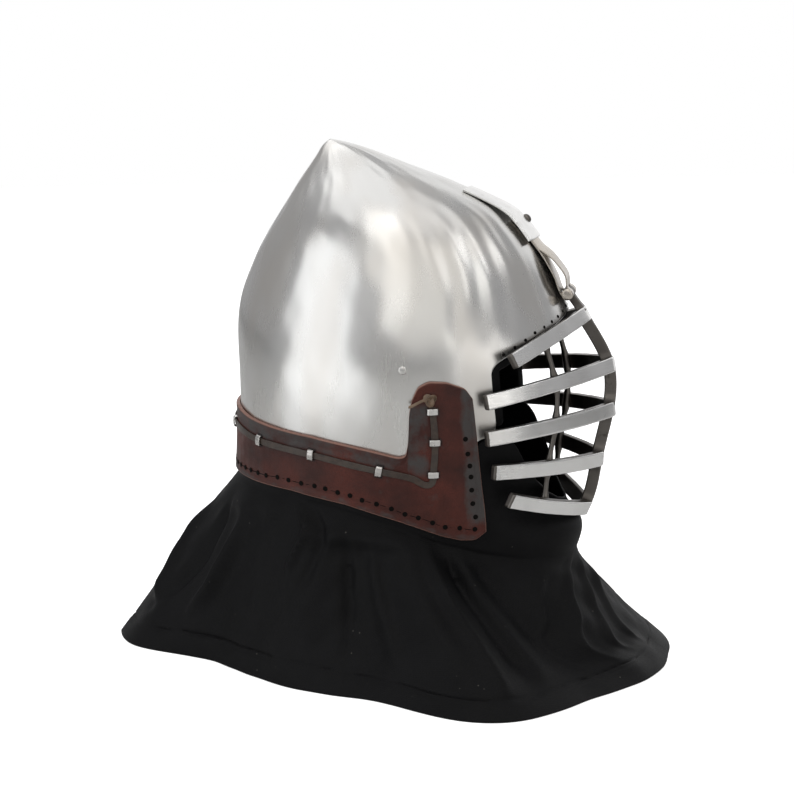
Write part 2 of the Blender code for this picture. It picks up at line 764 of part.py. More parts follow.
def aventail_grid():
    """Outer face of the cloth: over the neck it follows the skull's rings, then it spreads to the hem."""
    turn = np.linspace(0.0, 360.0, CLOTH_COLUMNS, endpoint=False)
    turn = turn - COLUMN_CROWDING * np.sin(np.radians(2 * turn))
    angle = np.radians(np.where(turn > 180.0, turn - 360.0, turn))
    top, neck = outline(CLOTH_TOP)(angle), outline(CLOTH_NECK)(angle)
    down = top + (neck - top) * np.linspace(0.0, 1.0, UPPER_CLOTH_ROWS)[:, None]
    in_face = np.clip((CHIN_SIDE - np.degrees(np.abs(angle))) / CHIN_SIDE_SPREAD, 0, 1)
    hollow = np.exp(-(((down - CHIN_HOLLOW_DOWN) / CHIN_HOLLOW_SPREAD) ** 2))
    upper = over_skull(angle, down, -CHIN_HOLLOW * in_face * hollow)
    start = upper[-1]
    round_degrees = np.degrees(np.arctan2(-start[:, 0], -start[:, 1]))
    hem_degrees, hem_shares = np.array(HEM_OUTLINE).T
    hem = natural_spline(hem_degrees, hem_shares)(np.abs(round_degrees))[:, 0] * HEM_REACH
    near_reach = np.hypot(start[:, 0], start[:, 1])
    away = start[:, :2] / near_reach[:, None]
    power = SPREAD_POWER + SPREAD_POWER_FRONT * np.cos(angle)
    free = []
    for part in FREE_ROWS:
        reach = near_reach + (hem - near_reach) * part**power
        folds = fold_height(round_degrees, np.array(part)) * min(1.0, 4 * (1 - part) + HEM_FOLD_SHARE)
        free.append(np.column_stack([away * (reach + folds)[:, None], start[:, 2] * (1 - part)]))
    lower = np.stack(free)
    lower[:, :, 0] *= HEM_HALF_WIDTH / np.abs(lower[-1, :, 0]).max()
    return np.concatenate([upper, lower])


def grid_normals(grid):
    """Unit normals of a closed grid whose columns run round and whose rows run down."""
    around = np.roll(grid, -1, axis=1) - np.roll(grid, 1, axis=1)
    return unit(np.cross(around, np.gradient(grid, axis=0)))


def make_aventail(finish):
    outer = aventail_grid()
    normal = grid_normals(outer)
    inner = outer - normal * CLOTH
    flat = normal[-1, :, :2]
    outward = unit(flat)
    lean = np.clip(np.linalg.norm(flat, axis=1), 0.5, 1.0)
    inner[-1, :, :2] = outer[-1, :, :2] - outward * (CLOTH / lean)[:, None]
    inner[-1, :, 2] = outer[-1, :, 2] = 0.0
    return add_wall("aventail", outer, inner, finish, True)


def crest_point(x, down, height):
    """Point over the crest at a sideways distance from the middle plane."""
    half_width = ring_at(down)[..., 4]
    return over_skull(np.arcsin(-x / half_width), down, height)


def plate_lift(share):
    """Height of the plate's underside over the crest, at a share of the way from its top to its low end."""
    leaves = 2 * (STRAP_THICKNESS + GAP)
    return SEAT + leaves * np.clip(share / PLATE_LIFT_SHARE, 0, 1) ** PLATE_LIFT_POWER


def make_brow_plate(finish):
    """Creased plate that lies on the crest at its top and over the strap's two leaves at its low end."""
    share, across = np.meshgrid(np.linspace(0.0, 1.0, 8), np.linspace(-0.5, 0.5, 7), indexing="ij")
    down = PLATE_TOP + (PLATE_LOW - PLATE_TOP) * share
    width = PLATE_WIDTH_TOP + (PLATE_WIDTH_LOW - PLATE_WIDTH_TOP) * share**2
    lift = plate_lift(share)
    inner = crest_point(across * width, down, lift)
    outer = crest_point(across * width, down, lift + PLATE_THICKNESS)
    return add_wall("brow_plate", outer, inner, finish, False)


def dome(name, foot, normal, diameter, height, finish):
    """Low dome of a rivet head, its flat foot on a surface."""
    side = unit(np.cross(normal, (0.3, 0.2, 1.0)))
    other = np.cross(normal, side)
    sections = []
    for tilt in np.radians((0, 25, 50, 72)):
        turn = np.linspace(0.0, 2 * math.pi, 12, endpoint=False)[:, None]
        ring = (side * np.cos(turn) + other * np.sin(turn)) * math.cos(tilt) * diameter / 2
        sections.append(foot + ring + normal * math.sin(tilt) * height)
    add_swept(name, sections, finish)


def make_rivets(finish):
    lift = plate_lift((RIVET_DOWN - PLATE_TOP) / (PLATE_LOW - PLATE_TOP)) + PLATE_THICKNESS + GAP
    normal = skull_normal(np.array(0.0), np.array(RIVET_DOWN))
    dome("brow_rivet", over_skull(0.0, RIVET_DOWN, lift), normal, RIVET_DIAMETER, RIVET_HEIGHT, finish)
    for side, name in ((1, "right"), (-1, "left")):
        angle, down = math.radians(side * SKULL_RIVET_PLACE[0]), SKULL_RIVET_PLACE[1]
        normal = skull_normal(np.array(angle), np.array(down))
        foot = over_skull(angle, down, GAP)
        dome(f"skull_rivet_{name}", foot, normal, SKULL_RIVET_DIAMETER, SKULL_RIVET_HEIGHT, finish)


def strap_route():
    """Middle line of the strap in the Y-Z plane: down on the crest, round the pin and back up in an arch.
    Each point also has a share, 1 where the strap takes the crest's creased shape and 0 where it is flat."""
    radius = PIN_DIAMETER / 2 + PIN_CLEARANCE + STRAP_THICKNESS / 2
    inner_height = SEAT + STRAP_THICKNESS / 2
    outer_height = inner_height + STRAP_THICKNESS + GAP
    pin = np.array([PIN_Y, PIN_Z])
    down = np.linspace(STRAP_TOP, STRAP_LEAVES_CREST, len(INNER_LEAF_CREASE))
    inner = over_skull(0.0, down, inner_height)[:, 1:]
    arch_rows = 4
    outer = over_skull(0.0, down[: len(OUTER_LEAF_CREASE) - arch_rows], outer_height)[:, 1:]
    slope = unit(pin - inner[-1])
    back = np.array([-slope[1], slope[0]])
    if np.dot(back, (1.0, -1.0)) < 0:
        back = -back
    back_angle = math.atan2(back[1], back[0])
    turn = back_angle - np.radians(np.linspace(0.0, STRAP_WRAP, 11))
    loop = pin + radius * np.column_stack([np.cos(turn), np.sin(turn)])
    ridge = outer[-1]
    leave = loop[-1]
    run = leave - ridge
    away = unit(np.array([-run[1], run[0]]))
    if np.dot(away, (-1.0, 1.0)) < 0:
        away = -away
    share = np.linspace(1.0, 0.0, arch_rows + 2)[1:-1, None]
    arch = ridge + run * share + away * STRAP_ARCH * 4 * share * (1 - share)
    route = np.concatenate([inner, loop, arch, outer[::-1]])
    crease = np.concatenate([INNER_LEAF_CREASE, np.zeros(len(loop)), OUTER_LEAF_CREASE])
    return route, crease


def make_hinge_strap(finish):
    """Strap folded in two round the pin, with a notch in the fold for the visor's knuckle."""
    route, crease = strap_route()
    along = unit(np.gradient(route, axis=0))
    out = np.column_stack([along[:, 1], -along[:, 0]])
    across = np.linspace(-0.5, 0.5, 5) * STRAP_WIDTH
    fall = CREST_HEIGHT * (1 - np.exp(-((across / CREST_WIDTH) ** 2))) + across**2 / (2 * CREST_SIDE_RADIUS)
    crest_out = skull_normal(np.array(0.0), np.array(STRAP_TOP))[1:]
    faces = []
    for side in (-0.5, 0.5):
        edge = route + out * side * STRAP_THICKNESS
        grid = np.empty((len(route), len(across), 3))
        grid[:, :, 0] = across
        grid[:, :, 1:] = edge[:, None, :] - (crease[:, None] * fall)[:, :, None] * crest_out
        faces.append(grid)
    strap = add_wall("hinge_strap", faces[0], faces[1], finish, False)
    reach = PIN_DIAMETER / 2 + PIN_CLEARANCE + STRAP_THICKNESS + NOTCH_CLEARANCE
    notch_half = KNUCKLE_LENGTH / 2 + KNUCKLE_SIDE_CLEARANCE
    turn = np.radians(np.arange(0, 360, 30))
    profile = np.column_stack([PIN_Y + reach * np.cos(turn), PIN_Z + reach * np.sin(turn)])
    notch = add_prism("knuckle_notch", profile, notch_half, finish)
    cut_away(strap, notch)


def ring_profile(radius, sides):
    turn = np.linspace(0.0, 2 * math.pi, sides, endpoint=False) + math.pi / sides
    return np.column_stack([PIN_Y + radius * np.cos(turn), PIN_Z + radius * np.sin(turn)])


def make_hinge_pin(finish):
    """Plain pin with a peened head on each end, outside the strap."""
    inside = STRAP_WIDTH / 2 + GAP
    outside = inside + PIN_HEAD_LENGTH
    shank, head = PIN_DIAMETER / 2, PIN_HEAD_DIAMETER / 2
    peened = outside - PIN_HEAD_LENGTH / 3
    steps = ((-outside, head * PIN_END_SHARE), (-peened, head), (-inside, head), (-inside, shank))
    steps += tuple((-x, radius) for x, radius in reversed(steps))
    sections = []
    for x, radius in steps:
        profile = ring_profile(radius, 16)
        sections.append(np.column_stack([np.full(len(profile), x), profile]))
    add_swept("hinge_pin", sections, finish)


def bar_line(length, nose_angle, end_angle, steps):
    """Half a bar in its own plane: sideways and backward distances of points along an arc whose angle
    off the centre line falls evenly from the nose to the end, after a short rounding at the nose."""
    fine = np.linspace(0.0, length, 200)
    angle = np.radians(nose_angle + (end_angle - nose_angle) * fine / length)
    blend = np.clip(fine / NOSE_ROUNDING, 0, 1)
    angle = np.pi / 2 + (angle - np.pi / 2) * blend
    step = fine[1] - fine[0]
    aside = np.concatenate([[0.0], np.cumsum(np.sin(angle[1:]) * step)])
    behind = np.concatenate([[0.0], np.cumsum(np.cos(angle[1:]) * step)])
    places = length * np.concatenate([BAR_FIRST_PLACES, np.linspace(BAR_EVEN_FROM, 1.0, steps)])
    return np.interp(places, fine, aside), np.interp(places, fine, behind)


def bar_sections(bar):
    """Sections of a whole bar, its outer face on the line and its thickness inward."""
    reach, drop, slope, nose_angle, end_angle, length = bar
    nose_y, nose_z = in_profile(reach, drop)
    aside, behind = bar_line(length * SKULL_WIDTH / 2, nose_angle, end_angle, BAR_STEPS)
    aside = np.concatenate([-aside[::-1], aside[1:]])
    behind = np.concatenate([behind[::-1], behind[1:]])
    tilt = math.radians(slope)
    back = np.array([0.0, math.cos(tilt), math.sin(tilt)])
    upward = np.array([0.0, -math.sin(tilt), math.cos(tilt)])
    line = np.array([0.0, nose_y, nose_z]) + aside[:, None] * (1.0, 0.0, 0.0) + behind[:, None] * back
    along = unit(np.gradient(line, axis=0))
    inward = unit(np.cross(upward, along))
    half = upward * BAR_HEIGHT / 2
    inner = line + inward * BAR_THICKNESS
    return np.stack([line - half, line + half, inner + half, inner - half], axis=1)


def bar_point_at(bar, spread, depth):
    """Point of a bar at a sideways distance, a depth inward from its outer face."""
    reach, drop, slope, nose_angle, end_angle, length = bar
    nose_y, nose_z = in_profile(reach, drop)
    aside, behind = bar_line(length * SKULL_WIDTH / 2, nose_angle, end_angle, 40)
    tilt = math.radians(slope)
    place = np.interp(spread, aside, behind)
    ahead = np.interp(spread + 0.002, aside, behind)
    turn = math.atan2(ahead - place, 0.002)
    x, back = spread - depth * math.sin(turn), place + depth * math.cos(turn)
    return np.array([x, nose_y + back * math.cos(tilt), nose_z + back * math.sin(tilt)])


def tube_sections(points, diameter, sides):
    points = np.asarray(points)
    along = unit(np.gradient(points, axis=0))
    side = unit(np.cross(along, (0.0, 1.0, 0.0)))
    other = np.cross(along, side)
    turn = np.linspace(0.0, 2 * math.pi, sides, endpoint=False)[None, :, None]
    return points[:, None] + (side[:, None] * np.cos(turn) + other[:, None] * np.sin(turn)) * diameter / 2


def make_spine(noses, finish, axis):
    """Flat bar on edge that follows the noses of the bars a little behind their front faces."""
    knots = np.concatenate([noses[:1] + SPINE_TOP, noses, noses[-1:] + SPINE_FOOT])
    runs = run_lengths(knots)
    line = natural_spline(runs, knots)(np.linspace(0.0, runs[-1], 17))
    along = unit(np.gradient(line, axis=0))
    back = np.column_stack([-along[:, 1], along[:, 0]])
    front_edge = line + back * SPINE_SETBACK
    back_edge = front_edge + back * SPINE_DEPTH
    half = SPINE_WIDTH / 2
    sections = []
    for front, rear in zip(front_edge, back_edge):
        sections.append([(-half, *front), (half, *front), (half, *rear), (-half, *rear)])
    return add_swept("spine", sections, finish, axis)


def make_rod(side, finish, axis):
    """Round rod welded behind the bars at ROD_SPREAD from the middle, on one side."""
    depth = BAR_THICKNESS + ROD_DIAMETER / 2 - WELD_DEPTH
    marks = np.array([bar_point_at(bar, ROD_SPREAD, depth) for bar in VISOR_BARS])
    marks[:, 0] *= side
    first = marks[0] + (marks[0] - marks[1]) * ROD_TOP_OVERRUN
    last = marks[-1] + (marks[-1] - marks[-2]) * ROD_FOOT_OVERRUN
    marks = np.concatenate([[first], marks, [last]])
    runs = run_lengths(marks)
    route = natural_spline(runs, marks)(np.linspace(0.0, runs[-1], 13))
    return add_swept(f"rod_{side + 2}", tube_sections(route, ROD_DIAMETER, 8), finish, axis)


def make_knuckle(nose, finish, axis):
    """Knuckle that turns on the pin between the strap's two ears, and the bracket to the first bar."""
    radius = PIN_DIAMETER / 2 + PIN_CLEARANCE + STRAP_THICKNESS
    knuckle = add_prism("knuckle", ring_profile(radius, 16), KNUCKLE_LENGTH / 2, finish, axis)
    pin = np.array([PIN_Y, PIN_Z])
    foot = nose + (BAR_THICKNESS * BRACKET_SEAT, 0.0)
    run = unit(foot - pin)
    side = np.array([-run[1], run[0]]) * BRACKET_THICKNESS / 2
    start = pin + run * (radius - BRACKET_INSET)
    profile = [start - side, start + side, foot + side, foot - side]
    return [knuckle, add_prism("bracket", profile, BRACKET_WIDTH / 2, finish, axis)]


def make_visor(finish, axis):
    """Grille welded up from five bars, a spine on edge, two inner rods and the hinge knuckle."""
    pieces = []
    for number, bar in enumerate(VISOR_BARS, start=1):
        pieces.append(add_swept(f"bar_{number}", bar_sections(bar), finish, axis))
    grille = pieces.pop(0)
    grille.name = grille.data.name = "visor_grille"
    noses = np.array([in_profile(*bar[:2]) for bar in VISOR_BARS])
    pieces.append(make_spine(noses, finish, axis))
    pieces.append(make_rod(-1, finish, axis))
    pieces.append(make_rod(1, finish, axis))
    pieces += make_knuckle(noses[0], finish, axis)
    weld_on(grille, pieces)
    bore = ring_profile(PIN_DIAMETER / 2 + PIN_CLEARANCE, 16)
    cutter = add_prism("knuckle_bore", bore, KNUCKLE_LENGTH, finish, axis)
    cut_away(grille, cutter)


def clear_scene():
    for old in list(bpy.data.objects):
        bpy.data.objects.remove(old, do_unlink=True)


def main():
    clear_scene()
    steel = material("satin_steel", (0.62, 0.62, 0.60), 0.28, 1.0)
    bright = material("bright_steel", (0.80, 0.80, 0.79), 0.18, 1.0)
    dark = material("dark_steel", (0.32, 0.31, 0.29), 0.35, 1.0)
    leather = material("brown_leather", (0.12, 0.035, 0.025), 0.45, 0.0)
    lace = material("lace_leather", (0.06, 0.03, 0.02), 0.6, 0.0)
    cotton = material("black_cotton", (0.012, 0.012, 0.013), 0.9, 0.0)
    make_skull(steel)
    make_liner(cotton)
    band = add_wall("leather_band", band_grid(SEAT + LEATHER), band_grid(SEAT), leather, False)
    make_staples(bright, band)
    make_lace(lace)
    make_aventail(cotton)
    make_brow_plate(bright)
    make_rivets(steel)
    make_hinge_strap(bright)
    make_hinge_pin(bright)
    axis = bpy.data.objects.new("visor_axis", None)
    axis.location = (0.0, PIN_Y, PIN_Z)
    bpy.context.scene.collection.objects.link(axis)
    make_visor(dark, axis)


main()
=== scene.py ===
"""Looks of a bascinet: a pointed steel skull with a padded liner, a leather band laced on through staples,
a black cloth aventail that stands on its hem, and a welded bar visor on a single hinge at the brow.

Metres, +Z up. The face looks along -Y and the wearer's right side is -X. A place on the skull is given by
degrees round from the front, positive on the wearer's right side, and by a share of the way down from the
apex, measured along the side.
"""

import math

import bpy
import numpy as np
from bpy.props import FloatProperty, FloatVectorProperty
from mathutils import Matrix, Vector


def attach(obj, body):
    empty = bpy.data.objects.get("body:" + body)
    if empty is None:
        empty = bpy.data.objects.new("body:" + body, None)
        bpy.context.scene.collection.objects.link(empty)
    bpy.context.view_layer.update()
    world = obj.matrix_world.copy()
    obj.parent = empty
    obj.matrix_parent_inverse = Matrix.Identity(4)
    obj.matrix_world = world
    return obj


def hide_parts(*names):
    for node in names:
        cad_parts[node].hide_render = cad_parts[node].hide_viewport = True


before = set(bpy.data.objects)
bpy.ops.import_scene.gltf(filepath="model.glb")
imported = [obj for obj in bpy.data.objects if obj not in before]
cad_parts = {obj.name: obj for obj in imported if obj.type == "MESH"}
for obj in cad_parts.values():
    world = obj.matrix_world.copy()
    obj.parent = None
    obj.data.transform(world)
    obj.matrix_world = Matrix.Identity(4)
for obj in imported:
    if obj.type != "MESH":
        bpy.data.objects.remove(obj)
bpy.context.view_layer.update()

bl_info = {
    "name": "Bascinet",
    "version": (1, 0, 0),
    "blender": (4, 5, 0),
    "location": "View3D > Sidebar > Bascinet",
    "description": "Surfaces and finishes of a laced bascinet with a hinged bar visor",
    "category": "Object",
}

# Helmet
HELMET_HEIGHT = 0.412
SKULL_LENGTH = 0.272
SKULL_WIDTH = 0.213
SKULL_DROP = 0.300
SKULL_MIDDLE_Y = -0.0135
STEEL = 0.002
EDGE_ROUNDING = 0.003
APEX_STEEL = 0.004
CREST_HEIGHT = 0.003
CREST_WIDTH = 0.013
LINER_THICKNESS = 0.008
LINER_APEX_DROP = 0.012
LINER_CHANNEL = 16.0
LINER_SEAM_DEPTH = 0.0032

# Flutes beside the crest: a place of the middle one in degrees and share down, how far they lean over the
# way down, and the breadth of one, in degrees.
FLUTE_PLACE = (40.2, 0.393)
FLUTE_LEAN = 38.0
FLUTE_BREADTH = 10.5

# Seats and clearances
GAP = 0.0003
SEAT = 0.0005
LINER_GAP = 0.0012
JUST_OVER = 0.0001

# Leather band
LEATHER = 0.003
BAND_ROUNDING = 0.0022

# Aventail
CLOTH = 0.0026
HEM_REACH = 0.2277
HEM_HALF_WIDTH = 0.2025
CHIN_HOLLOW = 0.0165
CHIN_HOLLOW_DOWN = 0.955
CHIN_HOLLOW_SPREAD = 0.042
CHIN_SIDE = 56.0
CHIN_SIDE_SPREAD = 24.0

# Lengths up from the hem: its seam, where the turned-up cloth has its full height, and its stitches.
HEM_SEAM = 0.0195
HEM_FOLD = 0.0185
HEM_STITCH = 0.0165

# Lace and staples
LACE_WIDTH = 0.0055
LACE_THICKNESS = 0.0012
STAPLE_WIRE = 0.0012
STAPLE_LENGTH = 0.005
SLOT_CLEARANCE = 0.0005

# Brow plate, hinge and rivets
PLATE_THICKNESS = 0.0018
PLATE_WIDTH_TOP = 0.032
PLATE_WIDTH_LOW = 0.043
PLATE_LIFT_SHARE = 0.6
PLATE_LIFT_POWER = 1.5
PLATE_LENGTH = 0.062
PLATE_BOW = 0.0016
STRAP_THICKNESS = 0.0013
STRAP_WIDTH = 0.028
STRAP_ARCH = 0.0042
STRAP_WRAP = 215.0
CREST_SIDE_RADIUS = 0.08
PIN_DIAMETER = 0.006
PIN_HEAD_DIAMETER = 0.0094
PIN_HEAD_LENGTH = 0.0026
PIN_REACH = 0.95147
PIN_DROP = 0.39667
PIN_CLEARANCE = 0.0003
KNUCKLE_LENGTH = 0.012
KNUCKLE_SIDE_CLEARANCE = 0.0005
NOTCH_CLEARANCE = 0.0012
RIVET_DIAMETER = 0.0077
RIVET_HEIGHT = 0.0028
SKULL_RIVET_DIAMETER = 0.0065
SKULL_RIVET_HEIGHT = 0.0008

# Visor
BAR_HEIGHT = 0.012
BAR_THICKNESS = 0.0062
SPINE_WIDTH = 0.005
SPINE_DEPTH = 0.0095
SPINE_SETBACK = 0.0008
ROD_DIAMETER = 0.0042
ROD_SPREAD = 0.057
WELD_DEPTH = 0.0006
BRACKET_WIDTH = 0.0106
BRACKET_THICKNESS = 0.006
BRACKET_INSET = 0.001
BRACKET_SEAT = 0.75

# Rings of the skull, from the apex down. Shares: reaches and half widths of half the skull's length and
# width, drops of SKULL_DROP below the apex.
# front reach, front drop, back reach, back drop, half width, middle reach, side drop
SKULL_RINGS = (
    (-0.456, 0.0000, 0.456, 0.0000, 0.000, -0.456, 0.0000),
    (-0.412, 0.0030, 0.488, 0.0110, 0.047, -0.449, 0.0067),
    (-0.320, 0.0123, 0.522, 0.0333, 0.127, -0.430, 0.0233),
    (-0.114, 0.0453, 0.614, 0.0950, 0.300, -0.379, 0.0733),
    (0.107, 0.0840, 0.702, 0.1583, 0.498, -0.320, 0.1317),
    (0.312, 0.1215, 0.790, 0.2217, 0.662, -0.261, 0.1900),
    (0.511, 0.1660, 0.864, 0.2800, 0.770, -0.202, 0.2500),
    (0.640, 0.2130, 0.926, 0.3433, 0.854, -0.151, 0.3167),
    (0.775, 0.2910, 0.978, 0.4100, 0.925, -0.099, 0.3933),
    (0.876, 0.3820, 1.002, 0.4867, 0.977, -0.070, 0.4767),
    (0.960, 0.4667, 0.999, 0.5567, 1.000, -0.055, 0.5467),
    (1.004, 0.5633, 0.993, 0.6333, 1.003, -0.048, 0.6233),
    (1.033, 0.7067, 0.991, 0.7333, 0.986, -0.048, 0.7333),
    (1.055, 0.8567, 0.996, 0.8400, 0.948, -0.055, 0.8467),
    (1.070, 1.0000, 1.015, 0.9467, 0.911, -0.063, 0.9667),
    (1.011, 1.0933, 1.030, 1.0200, 0.892, -0.070, 1.0533),
)
LAST_FULL_RING = 14

# Outlines drawn on the skull's surface: degrees round from the front, share of the way down from apex.
STEEL_EDGE = (
    (0.0, 0.603), (18.6, 0.615), (32.5, 0.625), (45.3, 0.645), (50.4, 0.655), (52.8, 0.670),
    (53.2, 0.700), (52.4, 0.746), (51.9, 0.784), (53.4, 0.799), (58.0, 0.806), (63.0, 0.835),
    (69.0, 0.885), (76.0, 0.925), (84.0, 0.934), (100.0, 0.909), (120.0, 0.891), (140.0, 0.888),
    (160.0, 0.884), (180.0, 0.882),
)
BAND_TOP = (
    (56.4, 0.715), (59.6, 0.692), (67.5, 0.674), (73.7, 0.667), (77.1, 0.676), (79.2, 0.704),
    (80.1, 0.735), (80.5, 0.800), (81.2, 0.830), (83.5, 0.834), (91.8, 0.819), (100.6, 0.806),
    (113.5, 0.790), (129.6, 0.780), (146.0, 0.770), (163.0, 0.756), (180.0, 0.750),
)
BAND_BOTTOM = (
    (56.4, 1.002), (59.6, 1.022), (64.1, 1.024), (70.2, 1.016), (83.3, 0.987), (100.3, 0.956),
    (120.6, 0.938), (140.1, 0.935), (155.0, 0.932), (180.0, 0.929),
)
BAND_FRONT_LEAN = 3.6
BAND_LEAN_SPREAD = 12.0

# Liner: the share down from the apex where its rows start, and its edge: how far it stands out in the face
# opening, in degrees and in shares, and how far short of the steel it stops below.
FACE_HALF = 53.2
FACE_LOW = 0.79
BROW_LOW = 0.66
LINER_TOP = 0.10
LINER_LIP_ASIDE = 3.6
LINER_LIP_DOWN = 0.016
LINER_SHORT = 0.012
LINER_LOWEST = 0.93

# Upper edge of the cloth: across the chin, up beside the face, then behind the band.
CLOTH_TOP = (
    (0.0, 0.958), (15.0, 0.952), (27.0, 0.935), (36.0, 0.905), (41.0, 0.868), (44.5, 0.828),
    (48.0, 0.808), (53.4, 0.806), (58.0, 0.814), (63.0, 0.844), (69.0, 0.898), (76.0, 0.945),
    (83.3, 0.951), (100.3, 0.922), (120.6, 0.904), (140.1, 0.901), (155.0, 0.898), (180.0, 0.895),
)

# Where the cloth leaves the neck and starts to spread.
CLOTH_NECK = (
    (0.0, 1.070), (40.0, 1.068), (57.6, 1.052), (64.1, 1.042), (70.2, 1.034), (83.3, 1.003),
    (100.3, 0.970), (120.6, 0.951), (140.1, 0.947), (155.0, 0.944), (180.0, 0.941),
)

# Hem on the floor: degrees round from the front, share of HEM_REACH.
HEM_OUTLINE = (
    (0.0, 1.000), (9.0, 1.003), (18.0, 0.990), (29.0, 0.975), (44.0, 0.987), (54.0, 1.015),
    (61.6, 1.005), (68.0, 0.955), (79.0, 0.790), (93.0, 0.697), (110.0, 0.660), (126.0, 0.642),
    (142.0, 0.648), (153.0, 0.690), (161.0, 0.790), (168.0, 0.915), (173.5, 0.968), (180.0, 1.000),
)

# Folds of the cloth: degrees round at the neck and at the hem, half breadth in degrees, height, and the
# share of the way down where the fold is highest. Positive degrees are the wearer's right side.
FOLD_FALL = 0.55
CLOTH_FOLDS = (
    (78.0, 60.0, 7.0, 0.011, 0.60), (96.0, 88.0, 8.0, -0.006, 0.65), (118.0, 112.0, 8.0, 0.005, 0.60),
    (150.0, 158.0, 6.0, 0.006, 0.55), (40.0, 36.0, 6.0, -0.007, 0.55), (22.0, 20.0, 6.0, 0.006, 0.60),
    (5.0, 2.0, 6.0, -0.004, 0.55), (-20.0, -22.0, 7.0, 0.006, 0.60), (-38.0, -40.0, 6.0, -0.006, 0.55),
    (-74.0, -62.0, 7.0, 0.010, 0.60), (-98.0, -94.0, 9.0, -0.006, 0.65),
    (-124.0, -122.0, 8.0, 0.005, 0.60), (-152.0, -158.0, 6.0, 0.006, 0.55),
)

# How the cloth bends outwards on its way to the hem, on average and how much more at the front, how much of
# the folds is left at the hem, and the degrees by which its columns crowd towards the front and back.
SPREAD_POWER = 1.18
SPREAD_POWER_FRONT = 0.22
HEM_FOLD_SHARE = 0.35
COLUMN_CROWDING = 8.0

# Staples on each side, and the lace's route through them, from the knot to the nape. From row LACE_TURN on
# the route runs back along the band.
STAPLES = (
    (72.9, 0.732, "down"), (72.3, 0.800, "down"), (72.8, 0.872, "down"), (89.5, 0.866, "along"),
    (112.7, 0.836, "along"), (137.6, 0.822, "along"), (164.0, 0.802, "along"),
)
LACE_ROUTE = (
    (73.0, 0.7225), (72.9, 0.732), (72.5, 0.765), (72.3, 0.800), (72.4, 0.835), (72.7, 0.862),
    (72.9, 0.883), (73.5, 0.893), (75.0, 0.896), (77.6, 0.887), (82.0, 0.876), (89.5, 0.866),
    (101.0, 0.850), (112.7, 0.836), (125.0, 0.828), (137.6, 0.822), (151.0, 0.812), (164.0, 0.802),
    (180.0, 0.797),
)
LACE_TURN = 8
KNOT_PLACE = (73.6, 0.698)
SKULL_RIVET_PLACE = (81.7, 0.636)

# Brow plate and strap along the crest: share of the way down from the apex.
PLATE_TOP = 0.287
PLATE_LOW = 0.455
STRAP_TOP = 0.395
RIVET_DOWN = 0.415
STRAP_LEAVES_CREST = 0.540

# How far each row of the strap's two leaves takes the crest's creased shape: 1 for all of it, 0 for flat.
INNER_LEAF_CREASE = (1.0, 1.0, 0.9, 0.7, 0.45, 0.2, 0.0)
OUTER_LEAF_CREASE = (0.0, 0.2, 0.5, 0.85, 1.0, 1.0, 1.0, 1.0)

# Visor bars. Shares: nose reach of half the skull's length, nose drop of SKULL_DROP, length of half a bar
# of half the skull's width. Degrees: slope of the bar's plane towards the back, and the bar's angle off the
# head's centre line at the nose and at its end.
# nose reach, nose drop, slope, nose angle, end angle, half length
VISOR_BARS = (
    (1.06985, 0.44800, -27.9, 68.0, 49.0, 1.03286),
    (1.22721, 0.58367, -10.7, 63.0, 30.0, 1.30516),
    (1.23235, 0.70367, -6.0, 63.0, 31.0, 1.29577),
    (1.16985, 0.83933, 3.6, 65.0, 37.0, 1.18310),
    (1.09191, 0.97700, 23.7, 68.0, 47.0, 1.05164),
)
NOSE_ROUNDING = 0.008
BAR_END = 0.0014
SPINE_TOP = (0.0020, 0.0035)
SPINE_FOOT = (0.0028, -0.0045)
ROD_TOP_OVERRUN = 0.12
ROD_FOOT_OVERRUN = 0.06
SPINE_END = 0.0008
ROD_END = 0.0012

# Sewing holes of the band: down the front edge, then along the lower edge. Behind the last of these they
# are evenly spaced up to the nape.
BAND_STITCHES = (
    (62.8, 0.797), (62.1, 0.829), (61.5, 0.855), (61.2, 0.879), (61.1, 0.908), (60.9, 0.938),
    (60.1, 0.968), (60.2, 0.996), (64.9, 0.994), (69.3, 0.993), (73.1, 0.984), (77.4, 0.974),
    (81.4, 0.967), (85.5, 0.956), (90.1, 0.947), (94.7, 0.940), (98.6, 0.931), (102.8, 0.926),
    (107.2, 0.920), (111.2, 0.916), (116.5, 0.914), (122.0, 0.911), (127.3, 0.909), (133.5, 0.911),
)
BACK_STITCH = (180.0, 0.904)
BACK_STITCH_STEP = 5.25
BAND_HOLE_LIFT = 0.00012
HOLE_RISE = 0.00022

# Sewing holes along the brow: their spacing in metres, and how far over the edge they are and where they
# stop, as shares of the way down.
BROW_STITCH = 0.0115
BROW_STITCH_UP = 0.0095
BROW_STITCH_LOWEST = 0.662

# Knot of the lace: a third of its trefoil's reach, and how far it rises and sinks.
KNOT_SIZE = 0.00132
KNOT_HEIGHT = 0.0012

# Tail of the knot, from its middle: towards the back, up, and out, in metres.
TAIL_LINE = (
    (0.0000, 0.0010, 0.0000), (0.0050, 0.0000, 0.0012), (0.0100, -0.0022, 0.0018),
    (0.0145, -0.0044, 0.0020), (0.0165, -0.0046, 0.0024),
)

